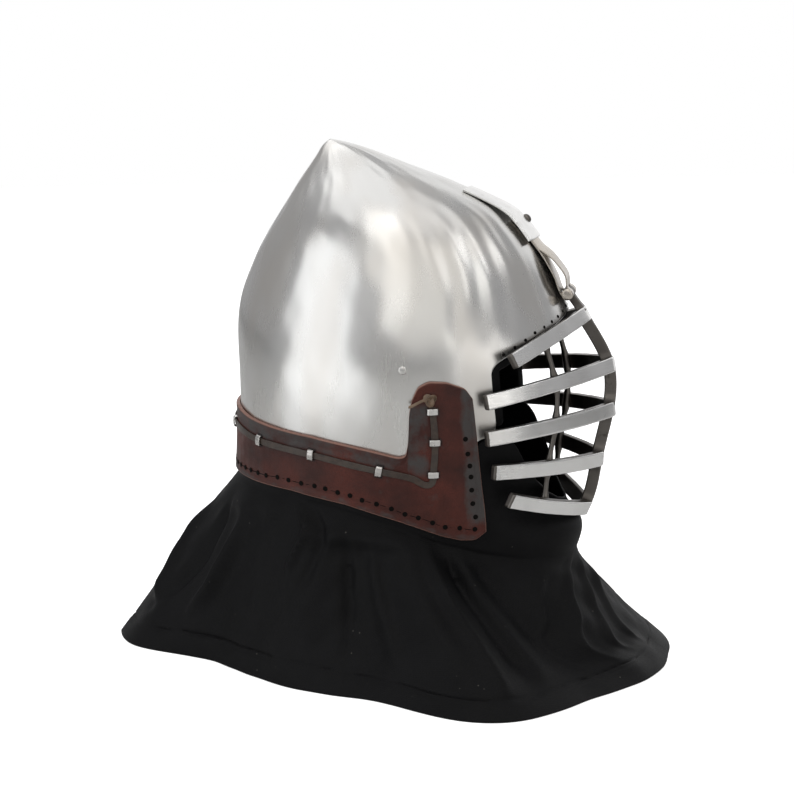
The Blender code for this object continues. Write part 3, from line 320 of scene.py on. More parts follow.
# Smaller folds of the cloth: half breadth in degrees, height, and a line of shares and degrees. All their
# heights and breadths are multiplied by the first two numbers.
CREASE_DEPTH = 1.9
CREASE_BREADTH = 0.8
CLOTH_CREASES = (
    (3.2, 0.0065, ((0.02, 65.5), (0.27, 63.7), (0.46, 60.8), (0.69, 58.1), (0.87, 57.7), (0.97, 57.5))),
    (3.6, -0.0070, ((0.02, 57.0), (0.27, 55.5), (0.46, 53.0), (0.69, 50.6), (0.90, 50.0), (0.97, 50.0))),
    (6.0, -0.0050, ((0.02, 47.0), (0.29, 43.9), (0.59, 38.0), (0.85, 36.0))),
    (2.2, 0.0038, ((0.02, 6.0), (0.25, 19.1), (0.49, 25.4), (0.70, 27.8), (0.85, 20.0))),
    (2.0, 0.0034, ((0.05, 0.0), (0.22, 6.4), (0.40, 12.8), (0.54, 16.5), (0.68, 19.0), (0.84, 11.0))),
    (2.0, 0.0030, ((0.10, -9.0), (0.30, -1.0), (0.50, 5.5), (0.68, 9.0), (0.86, 2.0))),
    (2.0, 0.0026, ((0.10, 22.0), (0.30, 30.0), (0.50, 34.0), (0.70, 37.0), (0.86, 31.0))),
    (3.0, 0.0045, ((0.15, 178.0), (0.50, 174.7), (0.84, 166.7))),
    (3.0, 0.0045, ((0.15, 149.0), (0.51, 153.1), (0.82, 160.3))),
    (2.6, -0.0035, ((0.10, 162.0), (0.50, 164.0), (0.84, 172.0))),
    (2.4, 0.0032, ((0.02, 124.3), (0.17, 117.4), (0.26, 119.1), (0.45, 122.0))),
    (2.6, -0.0028, ((0.02, 118.0), (0.17, 111.0), (0.30, 112.0), (0.50, 115.0))),
    (3.0, 0.0030, ((0.10, 90.0), (0.40, 86.0), (0.75, 80.0), (0.92, 79.0))),
    (2.8, -0.0030, ((0.10, 101.0), (0.40, 98.0), (0.75, 95.0), (0.92, 95.0))),
    (3.4, 0.0060, ((0.02, -68.0), (0.30, -65.0), (0.60, -60.0), (0.92, -58.0))),
    (3.6, -0.0060, ((0.02, -58.0), (0.30, -55.0), (0.60, -51.0), (0.92, -50.0))),
    (2.4, 0.0036, ((0.04, -30.0), (0.30, -36.0), (0.55, -34.0), (0.85, -40.0))),
    (2.2, 0.0030, ((0.04, -17.0), (0.30, -24.0), (0.55, -23.0), (0.85, -29.0))),
    (2.8, 0.0040, ((0.04, -120.0), (0.25, -114.0), (0.50, -118.0))),
    (2.8, -0.0030, ((0.04, -110.0), (0.25, -105.0), (0.50, -108.0))),
    (3.0, 0.0045, ((0.15, -146.0), (0.50, -152.0), (0.84, -158.0))),
    (3.0, 0.0036, ((0.10, -92.0), (0.45, -86.0), (0.92, -82.0))),
)

# Rolls of the cloth under the band: shares at their two ends, half breadth in share, height, degrees.
CLOTH_ROLLS = (
    ((0.09, 0.18), 0.055, 0.0042, 77.0, 112.0),
    ((0.20, 0.29), 0.060, -0.0012, 80.0, 112.0),
    ((0.10, 0.14), 0.050, 0.0026, 128.0, 160.0),
)

CAMERA_TARGET = (0.0, -0.0053, 0.205)

# Soft boxes: name, place, point aimed at, width, height, power in watts, colour.
SOFT_BOXES = (
    ("box_side_back", (-1.28, 1.28, 0.84), (0.0, 0.0, 0.25), 1.35, 1.7, 9.0, (0.97, 0.985, 1.0)),
    ("box_low_back", (-0.66, 0.60, 0.05), (0.0, 0.0, 0.22), 1.0, 0.28, 0.85, (0.97, 0.985, 1.0)),
    ("box_over_camera", (-1.34, 0.03, 1.59), (0.0, 0.0, 0.25), 0.42, 2.4, 4.4, (1.0, 0.99, 0.96)),
    ("box_round_camera", (-2.10, -0.76, 1.55), (0.0, 0.0, 0.25), 1.45, 2.3, 6.0, (1.0, 0.965, 0.89)),
    ("box_front", (-0.93, -1.11, 1.47), (0.0, 0.0, 0.25), 0.4, 1.0, 1.9, (1.0, 0.99, 0.96)),
    ("box_back_top", (0.95, 0.85, 2.0), (0.0, 0.0, 0.25), 1.3, 1.3, 6.0, (1.0, 1.0, 1.0)),
    ("box_brow", (-0.30, -1.24, 1.66), (0.0, 0.0, 0.25), 0.34, 0.7, 1.6, (1.0, 1.0, 1.0)),
    ("box_low_front", (-1.30, -1.45, 0.34), (0.0, -0.15, 0.2), 1.1, 0.6, 2.6, (1.0, 0.98, 0.95)),
    ("box_top", (-0.1, 0.1, 2.15), (0.0, 0.0, 0.2), 1.9, 1.9, 9.5, (1.0, 1.0, 1.0)),
    ("box_behind", (2.5, -0.5, 1.1), (0.0, 0.0, 0.2), 4.2, 3.2, 30.0, (1.0, 1.0, 1.0)),
)


def natural_spline(places, values):
    """Cubic with continuous curvature through rows of values at rising places, straight at both ends."""
    places = np.asarray(places, float)
    values = np.asarray(values, float).reshape(len(places), -1)
    count = len(places)
    step = np.diff(places)
    system = np.eye(count)
    bends = np.zeros_like(values)
    for i in range(1, count - 1):
        system[i, i - 1 : i + 2] = step[i - 1], 2 * (step[i - 1] + step[i]), step[i]
        bends[i] = 6 * ((values[i + 1] - values[i]) / step[i] - (values[i] - values[i - 1]) / step[i - 1])
    bends = np.linalg.solve(system, bends)

    def at(x):
        x = np.asarray(x, float)
        k = np.clip(np.searchsorted(places, x) - 1, 0, count - 2)
        run = (x - places[k])[..., None]
        span = step[k][..., None]
        slope = (values[k + 1] - values[k]) / span - span * (2 * bends[k] + bends[k + 1]) / 6
        twist = (bends[k + 1] - bends[k]) / (6 * span)
        return values[k] + slope * run + bends[k] / 2 * run**2 + twist * run**3

    return at


def ring_sizes():
    """Ring table in metres: front y and z, back y and z, half width, middle y, side z."""
    shares = np.array(SKULL_RINGS)
    half_length, half_width = SKULL_LENGTH / 2, SKULL_WIDTH / 2
    rings = np.empty_like(shares)
    rings[:, 0] = SKULL_MIDDLE_Y - shares[:, 0] * half_length
    rings[:, 2] = SKULL_MIDDLE_Y + shares[:, 2] * half_length
    rings[:, 5] = SKULL_MIDDLE_Y - shares[:, 5] * half_length
    rings[:, 4] = shares[:, 4] * half_width
    for column in (1, 3, 6):
        rings[:, column] = HELMET_HEIGHT - shares[:, column] * SKULL_DROP
    return rings


def in_profile(reach, drop):
    """Y and Z of a point of the middle plane, from shares of the skull's half length and of its drop."""
    return SKULL_MIDDLE_Y - reach * SKULL_LENGTH / 2, HELMET_HEIGHT - drop * SKULL_DROP


RINGS = ring_sizes()
RING_STEPS = np.linalg.norm(np.diff(RINGS[:, [4, 6]], axis=0), axis=1)
RING_PLACES = np.concatenate([[0.0], np.cumsum(RING_STEPS)])
RING_PLACES = RING_PLACES / RING_PLACES[LAST_FULL_RING]
ring_at = natural_spline(RING_PLACES, RINGS)
PIN_Y, PIN_Z = in_profile(PIN_REACH, PIN_DROP)


def skull_point(angle, down):
    """Point of the skull's outer face. Each ring is an egg: the cosine of the angle moves it from back to
    front, the squared cosine shifts its widest place, and the sine gives the width. A crest is added."""
    angle, down = np.broadcast_arrays(np.asarray(angle, float), np.asarray(down, float))
    front_y, front_z, back_y, back_z, half_width, middle_y, side_z = np.moveaxis(ring_at(down), -1, 0)
    ahead, aside = np.cos(angle), np.sin(angle)
    y = middle_y + (front_y - back_y) / 2 * ahead + ((front_y + back_y) / 2 - middle_y) * ahead**2
    z = side_z + (front_z - back_z) / 2 * ahead + ((front_z + back_z) / 2 - side_z) * ahead**2
    x = -half_width * aside
    rise = CREST_HEIGHT * np.exp(-((x / CREST_WIDTH) ** 2)) * np.sin(np.pi * np.clip(down / 0.9, 0, 1)) ** 2
    rise = np.where(ahead > 0, rise, 0.0) * math.sqrt(0.5)
    return np.stack([x, y - rise, z + rise], -1)


def unit(vectors):
    """Vectors of length one, in the same directions."""
    return vectors / np.linalg.norm(vectors, axis=-1, keepdims=True)


def skull_normal(angle, down):
    """Unit normal of the skull's outer face, from short steps both ways."""
    step = 1e-4
    down = np.maximum(down, 2 * step)
    around = skull_point(angle + step, down) - skull_point(angle - step, down)
    along = skull_point(angle, down + step) - skull_point(angle, down - step)
    return unit(np.cross(around, along))


def over_skull(angle, down, height):
    """Point at a height over the skull's outer face."""
    angle, down = np.broadcast_arrays(np.asarray(angle, float), np.asarray(down, float))
    return skull_point(angle, down) + skull_normal(angle, down) * np.asarray(height)[..., None]


def directions(line):
    """Unit directions along a line, at each of its points."""
    return unit(np.gradient(line, axis=0))


def run_lengths(points):
    """Length of the line through the points, up to each of them. A grid gives one for each column."""
    steps = np.linalg.norm(np.diff(points, axis=0), axis=-1)
    return np.concatenate([np.zeros_like(steps[:1]), np.cumsum(steps, axis=0)])


def at_places(places, runs, line):
    """Values in the columns of a line at places along it, straight between its points."""
    return [np.interp(places, runs, column) for column in line.T]


def on_skull(line):
    """Points of the skull's outer face along a line of degrees and shares."""
    return skull_point(np.radians(line[:, 0]), line[:, 1])


def crest_point(x, down, height):
    """Point over the crest at a sideways distance from the middle plane."""
    half_width = ring_at(down)[..., 4]
    return over_skull(np.arcsin(-x / half_width), down, height)


def plate_lift(share):
    """Height of the plate's underside over the crest, at a share of the way from its top to its low end."""
    leaves = 2 * (STRAP_THICKNESS + GAP)
    return SEAT + leaves * np.clip(share / PLATE_LIFT_SHARE, 0, 1) ** PLATE_LIFT_POWER


# Mesh making


def round_in(distance, radius):
    """How far a rounded edge falls back: 0 from the radius on, the whole radius at the very edge."""
    short = np.clip(radius - distance, 0.0, radius)
    return radius - np.sqrt(radius**2 - short**2)


def bell(distance, breadth):
    """Bell curve: 1 at no distance, and near 0 from twice the breadth on."""
    return np.exp(-((distance / breadth) ** 2))


def ease(x, start, end):
    """Smooth step from 0 at start to 1 at end; start may be above end."""
    share = np.clip((x - start) / (end - start), 0.0, 1.0)
    return share * share * (3 - 2 * share)


def grid_quads(rows, columns, start=0, close_rows=False, close_columns=True):
    """Four-sided faces of a grid of points stored row by row. Either direction may close on itself."""
    i = np.arange(rows if close_rows else rows - 1)[:, None]
    j = np.arange(columns if close_columns else columns - 1)[None, :]
    here, below, next_column = i * columns, (i + 1) % rows * columns, (j + 1) % columns
    corners = np.broadcast_arrays(here + j, here + next_column, below + next_column, below + j)
    return start + np.stack(corners, -1).reshape(-1, 4)


def ring_fan(tip, ring):
    """Triangles from one point to a closed ring of point numbers."""
    return np.stack([np.full(len(ring), tip), np.roll(ring, -1), ring], -1)


def closed_grid(points):
    """Shell of a grid that closes in both directions, as a tyre does."""
    rows, columns = points.shape[:2]
    return points.reshape(-1, 3), [grid_quads(rows, columns, 0, True, True)]


def bowl(first_tip, rows, last_tip):
    """Shell of rings between two tips: each ring joins the next, and each tip closes the ring beside it."""
    count, columns = rows.shape[:2]
    points = np.concatenate([[first_tip], rows.reshape(-1, 3), [last_tip]])
    first = 1 + np.arange(columns)
    last = first + (count - 1) * columns
    ends = [ring_fan(0, first), ring_fan(len(points) - 1, last)[:, ::-1]]
    return points, [grid_quads(count, columns, 1), *ends]


def swept(sections):
    """Shell of equal closed sections, one after another. Each end is closed with strips that join its
    points in pairs, the first with the last, the second with the last but one, and so on."""
    count, sides = sections.shape[:2]
    faces = [grid_quads(count, sides)]
    k = np.arange(sides // 2 - 1)
    cap = np.stack([k, k + 1, sides - 2 - k, sides - 1 - k], -1)
    faces += [cap, cap[:, ::-1] + (count - 1) * sides]
    return sections.reshape(-1, 3), faces


def sheet(outer, inner):
    """Shell of a sheet: outer and inner points of each column make one closed section."""
    return swept(np.concatenate([outer, inner[:, ::-1]], axis=1))


def signed_volume(points, faces):
    """Volume inside a closed shell, below zero when its faces point inwards."""
    total = 0.0
    for group in faces:
        for k in range(1, group.shape[1] - 1):
            a, b, c = points[group[:, 0]], points[group[:, k]], points[group[:, k + 1]]
            total += np.einsum("ij,ij->", a, np.cross(b, c))
    return total / 6


def add_object(name, data):
    """Object with this data, in the scene."""
    made = bpy.data.objects.new(name, data)
    bpy.context.scene.collection.objects.link(made)
    return made


def put_mesh(name, shells, look, slot, body="helmet", sharp=40.0, marks=None, uv=None, period=None):
    """Object of one or more closed shells, each turned to face outwards, in the finish named by its look.
    Marks are values per point for the finish to read, and uv is a place on the surface per point, in
    metres, which wraps after the period."""
    points, corners, sizes = [], [], []
    start = 0
    for shell_points, faces in shells:
        turn = -1 if signed_volume(shell_points, faces) < 0 else 1
        for group in faces:
            corners.append((group[:, ::turn] + start).ravel())
            sizes.append(np.full(len(group), group.shape[1]))
        points.append(shell_points)
        start += len(shell_points)
    points, corners, sizes = np.concatenate(points), np.concatenate(corners), np.concatenate(sizes)
    mesh = bpy.data.meshes.new(name)
    mesh.vertices.add(len(points))
    mesh.vertices.foreach_set("co", points.astype(np.float32).ravel())
    mesh.loops.add(len(corners))
    mesh.loops.foreach_set("vertex_index", corners.astype(np.int32))
    mesh.polygons.add(len(sizes))
    mesh.polygons.foreach_set("loop_start", (np.cumsum(sizes) - sizes).astype(np.int32))
    mesh.update(calc_edges=True)
    for label, values in (marks or {}).items():
        mesh.attributes.new(label, "FLOAT", "POINT").data.foreach_set("value", values.astype(np.float32))
    if uv is not None:
        place = uv.reshape(-1, 2)[corners]
        if period:
            face = np.repeat(np.arange(len(sizes)), sizes)
            farthest = np.full(len(sizes), -np.inf)
            np.maximum.at(farthest, face, place[:, 0])
            place[:, 0] += np.where(farthest[face] - place[:, 0] > period / 2, period, 0.0)
        mesh.uv_layers.new(name="surface").data.foreach_set("uv", place.astype(np.float32).ravel())
    mesh.shade_smooth()
    mesh.set_sharp_from_angle(angle=math.radians(sharp))
    mesh.materials.append(finish(look))
    made = add_object(name, mesh)
    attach(made, body)
    return made


def rounded_outline(half_width, half_height, radius, steps=4, supports=0.0):
    """Outline of a bar's section, a rectangle with rounded corners, from its left side over the top to the
    right and back below. Supports put a point on each flat close to the corners, so that it shades flat."""
    ways = np.array([(0, 1), (1, 0), (0, -1), (-1, 0)])
    outline = []
    for corner, start in enumerate((180, 90, 0, -90)):
        turn = np.radians(np.linspace(start, start - 90, steps))
        centre = (ways[corner] + ways[corner - 1]) * (half_width - radius, half_height - radius)
        run = centre + radius * np.column_stack([np.cos(turn), np.sin(turn)])
        if supports:
            before = run[0] - supports * ways[corner]
            after = run[-1] + supports * ways[(corner + 1) % 4]
            run = np.vstack([before, run, after])
        outline.append(run)
    return np.concatenate(outline)


def along_path(path, across, rise, outline, end_radius=0.0):
    """Sections of an outline carried along a path: its first value goes across, its second along the rise.
    Near both ends the outline shrinks by the fall of a rounded edge."""
    runs = run_lengths(path)
    from_end = np.minimum(runs, runs[-1] - runs)
    inset = round_in(from_end, end_radius) if end_radius else np.zeros(len(path))
    half = np.abs(outline).max(axis=0)
    grow = 1 - inset[:, None] / half
    flat = outline[None] * grow[:, None]
    return path[:, None] + flat[..., :1] * across[:, None] + flat[..., 1:] * rise[:, None]


def end_places(count, length, radius):
    """Places along a length, even in the middle and close together at the two rounded ends."""
    rounding = radius * (1 - np.cos(np.radians([0, 25, 50, 75])))
    middle = np.linspace(radius, length - radius, count)
    return np.concatenate([rounding, middle, (length - rounding)[::-1]])


def smooth_line(table, spacing, blur):
    """Degrees and shares of a line over the skull, with the corners of its table rounded: points at even
    spacing along the straight runs, each the average of those near it, weighted by a bell."""
    line = np.array(table)
    runs = run_lengths(on_skull(line))
    places = np.linspace(0.0, runs[-1], int(runs[-1] / spacing))
    line = np.column_stack(at_places(places, runs, line))
    reach = int(3 * blur / spacing)
    weight = bell(np.arange(-reach, reach + 1) * spacing, blur)
    weight /= weight.sum()
    before = 2 * line[0] - line[reach:0:-1]
    after = 2 * line[-1] - line[-2 : -reach - 2 : -1]
    longer = np.concatenate([before, line, after])
    return np.column_stack([np.convolve(longer[:, k], weight, "valid") for k in (0, 1)])


def ring_across(normal, aside, columns):
    """Circle of unit vectors square to a normal, laid out from a direction that isn't along the normal."""
    side = unit(np.cross(normal, aside))
    turn = np.linspace(0.0, 2 * math.pi, columns, endpoint=False)[:, None]
    return side * np.cos(turn) + np.cross(normal, side) * np.sin(turn)


def disc(centre, normal, diameter, rise, rim=0.5, columns=14):
    """Shell of a low disc with a rounded rim, like a rivet head, on a surface with this normal. Its rows go
    by shares of its radius and of its rise."""
    ring = ring_across(normal, (0.3, 0.2, 1.0), columns) * (diameter / 2)
    steps = ((1.0, -0.35), (1.0, 1 - rim), (0.93, 1 - rim / 3), (0.7, 1.0))
    rows = np.stack([centre + ring * out + normal * rise * up for out, up in steps])
    return bowl(centre - normal * rise * 0.35, rows, centre + normal * rise * 1.04)


# Finishes


def node_group(name, inputs, outputs):
    """Shader node group with named inputs and outputs, and the sockets that give its inputs inside it."""
    group = bpy.data.node_groups.new(name, "ShaderNodeTree")
    for label, kind, default in inputs:
        group.interface.new_socket(label, in_out="INPUT", socket_type=kind).default_value = default
    for label, kind in outputs:
        group.interface.new_socket(label, in_out="OUTPUT", socket_type=kind)
    return group, group.nodes.new("NodeGroupInput").outputs


def give(group, **sources):
    """Leads sources inside a group to its outputs of the same names."""
    result = group.nodes.new("NodeGroupOutput")
    for label, source in sources.items():
        group.links.new(source, result.inputs[label])


def add_node(tree, kind, links=(), **values):
    """Node with its settings and unlinked sockets by name, then its links as (input, source socket)."""
    node = tree.nodes.new(kind)
    for label, value in values.items():
        if label in node.inputs:
            node.inputs[label].default_value = value
        else:
            setattr(node, label, value)
    for label, source in links:
        tree.links.new(source, node.inputs[label])
    return node


def object_place(tree):
    """Place on the piece, in metres, for a pattern to read."""
    return tree.nodes.new("ShaderNodeTexCoord").outputs["Object"]


def noise(place, scale, detail, roughness):
    """Soft noise from 0 to 1, with so many patches to the metre. Like the helpers below, it goes into the
    tree that its source socket is in."""
    values = {"Scale": scale, "Detail": detail, "Roughness": roughness}
    return add_node(place.id_data, "ShaderNodeTexNoise", [("Vector", place)], **values).outputs["Fac"]


def calc(operation, *values, clamp=False):
    """Math node: each value is a number or a source socket."""
    tree = next(value.id_data for value in values if isinstance(value, bpy.types.NodeSocket))
    made = tree.nodes.new("ShaderNodeMath")
    made.operation, made.use_clamp = operation, clamp
    for k, value in enumerate(values):
        if isinstance(value, (int, float)):
            made.inputs[k].default_value = value
        else:
            tree.links.new(value, made.inputs[k])
    return made.outputs[0]


def rescale(value, low, high, to_low=0.0, to_high=1.0):
    """Value carried from one range to another, and held at its ends."""
    values = {"From Min": low, "From Max": high, "To Min": to_low, "To Max": to_high}
    return add_node(value.id_data, "ShaderNodeMapRange", [("Value", value)], **values).outputs["Result"]


def mixed(share, first, second):
    """Colour between two, each a colour or a source socket, by the share of the second."""
    tree = share.id_data
    made = add_node(tree, "ShaderNodeMix", [(0, share)], data_type="RGBA")
    for socket, value in ((made.inputs[6], first), (made.inputs[7], second)):
        if isinstance(value, bpy.types.NodeSocket):
            tree.links.new(value, socket)
        else:
            socket.default_value = (*value, 1.0)
    return made.outputs[2]


METAL_INPUTS = (
    ("Clean", "NodeSocketColor", (0.6, 0.6, 0.6, 1.0)),
    ("Tarnish", "NodeSocketColor", (0.1, 0.09, 0.08, 1.0)),
    ("Tarnish share", "NodeSocketFloat", 0.2),
    ("Pits", "NodeSocketFloat", 0.2),
    ("Roughness", "NodeSocketFloat", 0.25),
    ("Roughness spread", "NodeSocketFloat", 0.1),
    ("Line stretch", "NodeSocketVector", (1.0, 1.0, 1.0)),
    ("Line depth", "NodeSocketFloat", 0.3),
)


def make_metal_group():
    """Worn metal: patches of tone, fine grinding lines along the given direction of stretch, and spots of
    old tarnish. Gives colour, roughness and height."""
    group, given = node_group(
        "worn_metal",
        METAL_INPUTS,
        (("Colour", "NodeSocketColor"), ("Roughness", "NodeSocketFloat"), ("Height", "NodeSocketFloat")),
    )
    place = object_place(group)
    streaked = add_node(group, "ShaderNodeVectorMath", [(0, place)], operation="MULTIPLY")
    streaked.inputs[1].default_value = (1.0, 1.0, 0.3)
    patches = noise(streaked.outputs[0], 24.0, 2.0, 0.5)
    cloud = noise(streaked.outputs[0], 18.0, 2.0, 0.5)
    spots = noise(place, 130.0, 3.0, 0.65)
    stretch = [(0, place), (1, given["Line stretch"])]
    lined = add_node(group, "ShaderNodeVectorMath", stretch, operation="MULTIPLY")
    lines = noise(lined.outputs[0], 700.0, 2.0, 0.6)
    dirt = calc("MULTIPLY", rescale(patches, 0.42, 0.7), given["Tarnish share"])
    pits = calc("MULTIPLY", rescale(spots, 0.62, 0.74), given["Pits"])
    soiled = calc("ADD", dirt, pits, clamp=True)
    spread = calc("MULTIPLY", rescale(cloud, 0.3, 0.7, -0.5, 0.5), given["Roughness spread"])
    grit = calc("MULTIPLY", rescale(lines, 0.3, 0.7, -0.25, 0.25), given["Roughness spread"])
    rough = calc("ADD", calc("ADD", given["Roughness"], spread), grit)
    rough = calc("ADD", rough, calc("MULTIPLY", soiled, 0.22), clamp=True)
    height = calc("MULTIPLY", lines, given["Line depth"])
    height = calc("SUBTRACT", height, calc("MULTIPLY", pits, 0.6))
    give(group, Colour=mixed(soiled, given["Clean"], given["Tarnish"]), Roughness=rough, Height=height)


def make_grain_group():
    """Grain of leather: small cells with creases between them, over soft wrinkles. Gives a height, a mask
    of the creases and a tone."""
    group, given = node_group(
        "leather_grain",
        (("Scale", "NodeSocketFloat", 500.0), ("Wrinkles", "NodeSocketFloat", 0.5)),
        (("Height", "NodeSocketFloat"), ("Creases", "NodeSocketFloat"), ("Tone", "NodeSocketFloat")),
    )
    place = object_place(group)
    links = [("Vector", place), ("Scale", given["Scale"])]
    cells = add_node(group, "ShaderNodeTexVoronoi", links, feature="DISTANCE_TO_EDGE")
    creases = rescale(cells.outputs["Distance"], 0.0, 0.16, 1.0, 0.0)
    raised = calc("MULTIPLY", noise(place, 120.0, 4.0, 0.6), given["Wrinkles"])
    height = calc("SUBTRACT", raised, calc("MULTIPLY", creases, 0.35))
    give(group, Height=height, Creases=creases, Tone=noise(place, 28.0, 4.0, 0.6))


def make_weave_group():
    """Plain weave on the piece's own surface map: threads pass over and under by turns, as the product of
    two waves a thread apart. Adds slubs and lint. Gives height, thread shade and a mask of the lint."""
    group, given = node_group(
        "plain_weave",
        (("Thread", "NodeSocketFloat", 0.0009), ("Lint", "NodeSocketFloat", 0.5)),
        (("Height", "NodeSocketFloat"), ("Shade", "NodeSocketFloat"), ("Lint", "NodeSocketFloat")),
    )
    surface = add_node(group, "ShaderNodeUVMap", uv_map="surface").outputs["UV"]
    place = object_place(group)
    split = add_node(group, "ShaderNodeSeparateXYZ", [("Vector", surface)])
    turns = calc("DIVIDE", math.pi, given["Thread"])
    warp = calc("SINE", calc("MULTIPLY", split.outputs["X"], turns))
    weft = calc("SINE", calc("MULTIPLY", split.outputs["Y"], turns))
    woven = calc("MULTIPLY", warp, weft)
    slubs = noise(place, 260.0, 3.0, 0.6)
    height = calc("ADD", calc("MULTIPLY", woven, 0.3), calc("MULTIPLY", slubs, 0.8))
    flecks = add_node(group, "ShaderNodeTexVoronoi", [("Vector", place)], Scale=95.0)
    near = rescale(flecks.outputs["Distance"], 0.035, 0.075, 1.0, 0.0)
    some = rescale(noise(place, 40.0, 1.0, 0.5), 0.50, 0.62)
    lint = calc("MULTIPLY", calc("MULTIPLY", near, some), given["Lint"], clamp=True)
    give(group, Height=height, Shade=noise(place, 14.0, 4.0, 0.6), Lint=lint)


def new_finish(name, metallic, **shader_values):
    """Material with a plain shader, its uniform values set on the shader itself, and its node tree."""
    made = bpy.data.materials.new(name)
    made.use_nodes = True
    shader = made.node_tree.nodes["Principled BSDF"]
    shader.inputs["Metallic"].default_value = metallic
    for label, value in shader_values.items():
        shader.inputs[label.replace("_", " ")].default_value = value
    return made, made.node_tree


def use_group(tree, name, values):
    """Outputs of a group placed in a tree with its own values."""
    node = tree.nodes.new("ShaderNodeGroup")
    node.node_tree = bpy.data.node_groups[name]
    for label, value in values.items():
        socket = node.inputs[label]
        socket.default_value = (*value[:3], 1.0) if socket.type == "RGBA" else value
    return node.outputs


def dress(made, colour, rough, height, strength, distance=0.0004):
    """Leads colour, roughness and the bump of a height into a material's shader, and gives the material."""
    tree = made.node_tree
    bump = add_node(tree, "ShaderNodeBump", [("Height", height)], Strength=strength, Distance=distance)
    sources = {"Base Color": colour, "Roughness": rough, "Normal": bump.outputs["Normal"]}
    for label, source in sources.items():
        tree.links.new(source, tree.nodes["Principled BSDF"].inputs[label])
    return made


def mark(tree, label):
    """Value of a piece's own mark."""
    return add_node(tree, "ShaderNodeAttribute", attribute_name=label).outputs["Fac"]


def worn_metal(tree, *values):
    """Outputs of the worn metal with these values, in the order of its inputs."""
    return use_group(tree, "worn_metal", {row[0]: value for row, value in zip(METAL_INPUTS, values)})


def metal_finish(name, *values):
    """Steel of one kind: the worn metal's values, then the strength of its bump."""
    made, tree = new_finish(name, 1.0)
    worn = worn_metal(tree, *values[:-1])
    return dress(made, worn["Colour"], worn["Roughness"], worn["Height"], values[-1])


def bar_finish(name, bright, dark):
    """Bar steel: ground bright where the mark for the front face is, dark and rougher elsewhere, with the
    border between them broken up by noise."""
    made, tree = new_finish(name, 1.0)
    shift = rescale(noise(object_place(tree), 160.0, 3.0, 0.6), 0.3, 0.7, -0.22, 0.22)
    front = rescale(calc("ADD", mark(tree, "front"), shift), 0.42, 0.58)
    lines = (0.16, (0.12, 0.12, 1.0), 0.15)
    ground = worn_metal(tree, bright, dark, 0.30, 0.15, 0.20, *lines)
    forged = worn_metal(tree, dark, (0.035, 0.028, 0.022), 0.5, 0.5, 0.36, *lines)
    colour = mixed(front, forged["Colour"], ground["Colour"])
    links = [(0, front), (2, forged["Roughness"]), (3, ground["Roughness"])]
    rough = add_node(tree, "ShaderNodeMix", links).outputs[0]
    return dress(made, colour, rough, forged["Height"], 0.1)


def leather_finish(name, colour, worn_colour, edge_colour):
    """Band leather: grained, with painted shade darkening its creases, rubbed grey where the wear mark is,
    and lighter at the cut edge. Slots and holes are painted near black as their shade."""
    made, tree = new_finish(name, 0.0, Specular_IOR_Level=0.28)
    grain = use_group(tree, "leather_grain", {"Scale": 620.0, "Wrinkles": 0.6})
    blotch = noise(object_place(tree), 60.0, 5.0, 0.65)
    dark = tuple(value * 0.34 for value in colour)
    base = mixed(rescale(grain["Tone"], 0.35, 0.68), dark, colour)
    # Painted shade: the grain's creases are darkened towards a dark copy of the leather colour.
    base = mixed(calc("MULTIPLY", grain["Creases"], 0.45), base, dark)
    rub = calc("ADD", mark(tree, "worn"), rescale(blotch, 0.3, 0.7, -0.36, 0.56))
    base = mixed(rescale(rub, 0.30, 0.90, 0.0, 0.9), base, worn_colour)
    base = mixed(mark(tree, "cut"), base, edge_colour)
    # Painted shade: the staples' slots go near black, standing in for the shadow inside them.
    base = mixed(mark(tree, "slot"), base, (0.004, 0.003, 0.003))
    rough = rescale(blotch, 0.3, 0.7, 0.40, 0.62)
    return dress(made, base, rough, grain["Height"], 0.35, 0.0006)


def lace_finish(name, colour, painted_sheen_colour):
    """Lace leather: a strip cut thin, with lengthwise streaks, and patches painted paler as a sheen, where
    it is also glossier.
    """
    made, tree = new_finish(name, 0.0)
    place = object_place(tree)
    grain = use_group(tree, "leather_grain", {"Scale": 900.0, "Wrinkles": 0.8})
    streaks = rescale(noise(place, 180.0, 3.0, 0.6), 0.35, 0.65)
    patch = noise(place, 35.0, 3.0, 0.5)
    base = mixed(streaks, tuple(value * 0.5 for value in colour), colour)
    # Painted sheen: patches mixed towards a paler colour; the roughness also falls there, a real gloss.
    base = mixed(rescale(patch, 0.46, 0.72, 0.0, 0.8), base, painted_sheen_colour)
    return dress(made, base, rescale(patch, 0.35, 0.7, 0.58, 0.30), grain["Height"], 0.35)


def cloth_finish(name, colour, lint_colour, thread, lint):
    """Dyed cotton: plain weave, faded a little in patches, with lint caught on it."""
    made, tree = new_finish(name, 0.0, Specular_IOR_Level=0.09)
    weave = use_group(tree, "plain_weave", {"Thread": thread, "Lint": lint})
    faded = tuple(min(1.0, value * 1.9 + 0.002) for value in colour)
    base = mixed(rescale(weave["Shade"], 0.35, 0.7), colour, faded)
    base = mixed(weave["Lint"], base, lint_colour)
    return dress(made, base, rescale(weave["Shade"], 0.3, 0.7, 0.5, 0.66), weave["Height"], 0.4)


def hole_shade_and_thread_finish(name):
    """Inside of a stitch hole: near black, partly its dark thread and partly painted shade, with a thread
    of the same colour, a little uneven.
    """
    made, tree = new_finish(name, 0.0, Specular_IOR_Level=0.08)
    fuzz = noise(object_place(tree), 900.0, 2.0, 0.5)
    base = mixed(fuzz, (0.0012, 0.001, 0.001), (0.006, 0.005, 0.004))
    return dress(made, base, rescale(fuzz, 0.3, 0.7, 0.6, 0.9), fuzz, 0.4, 0.0003)


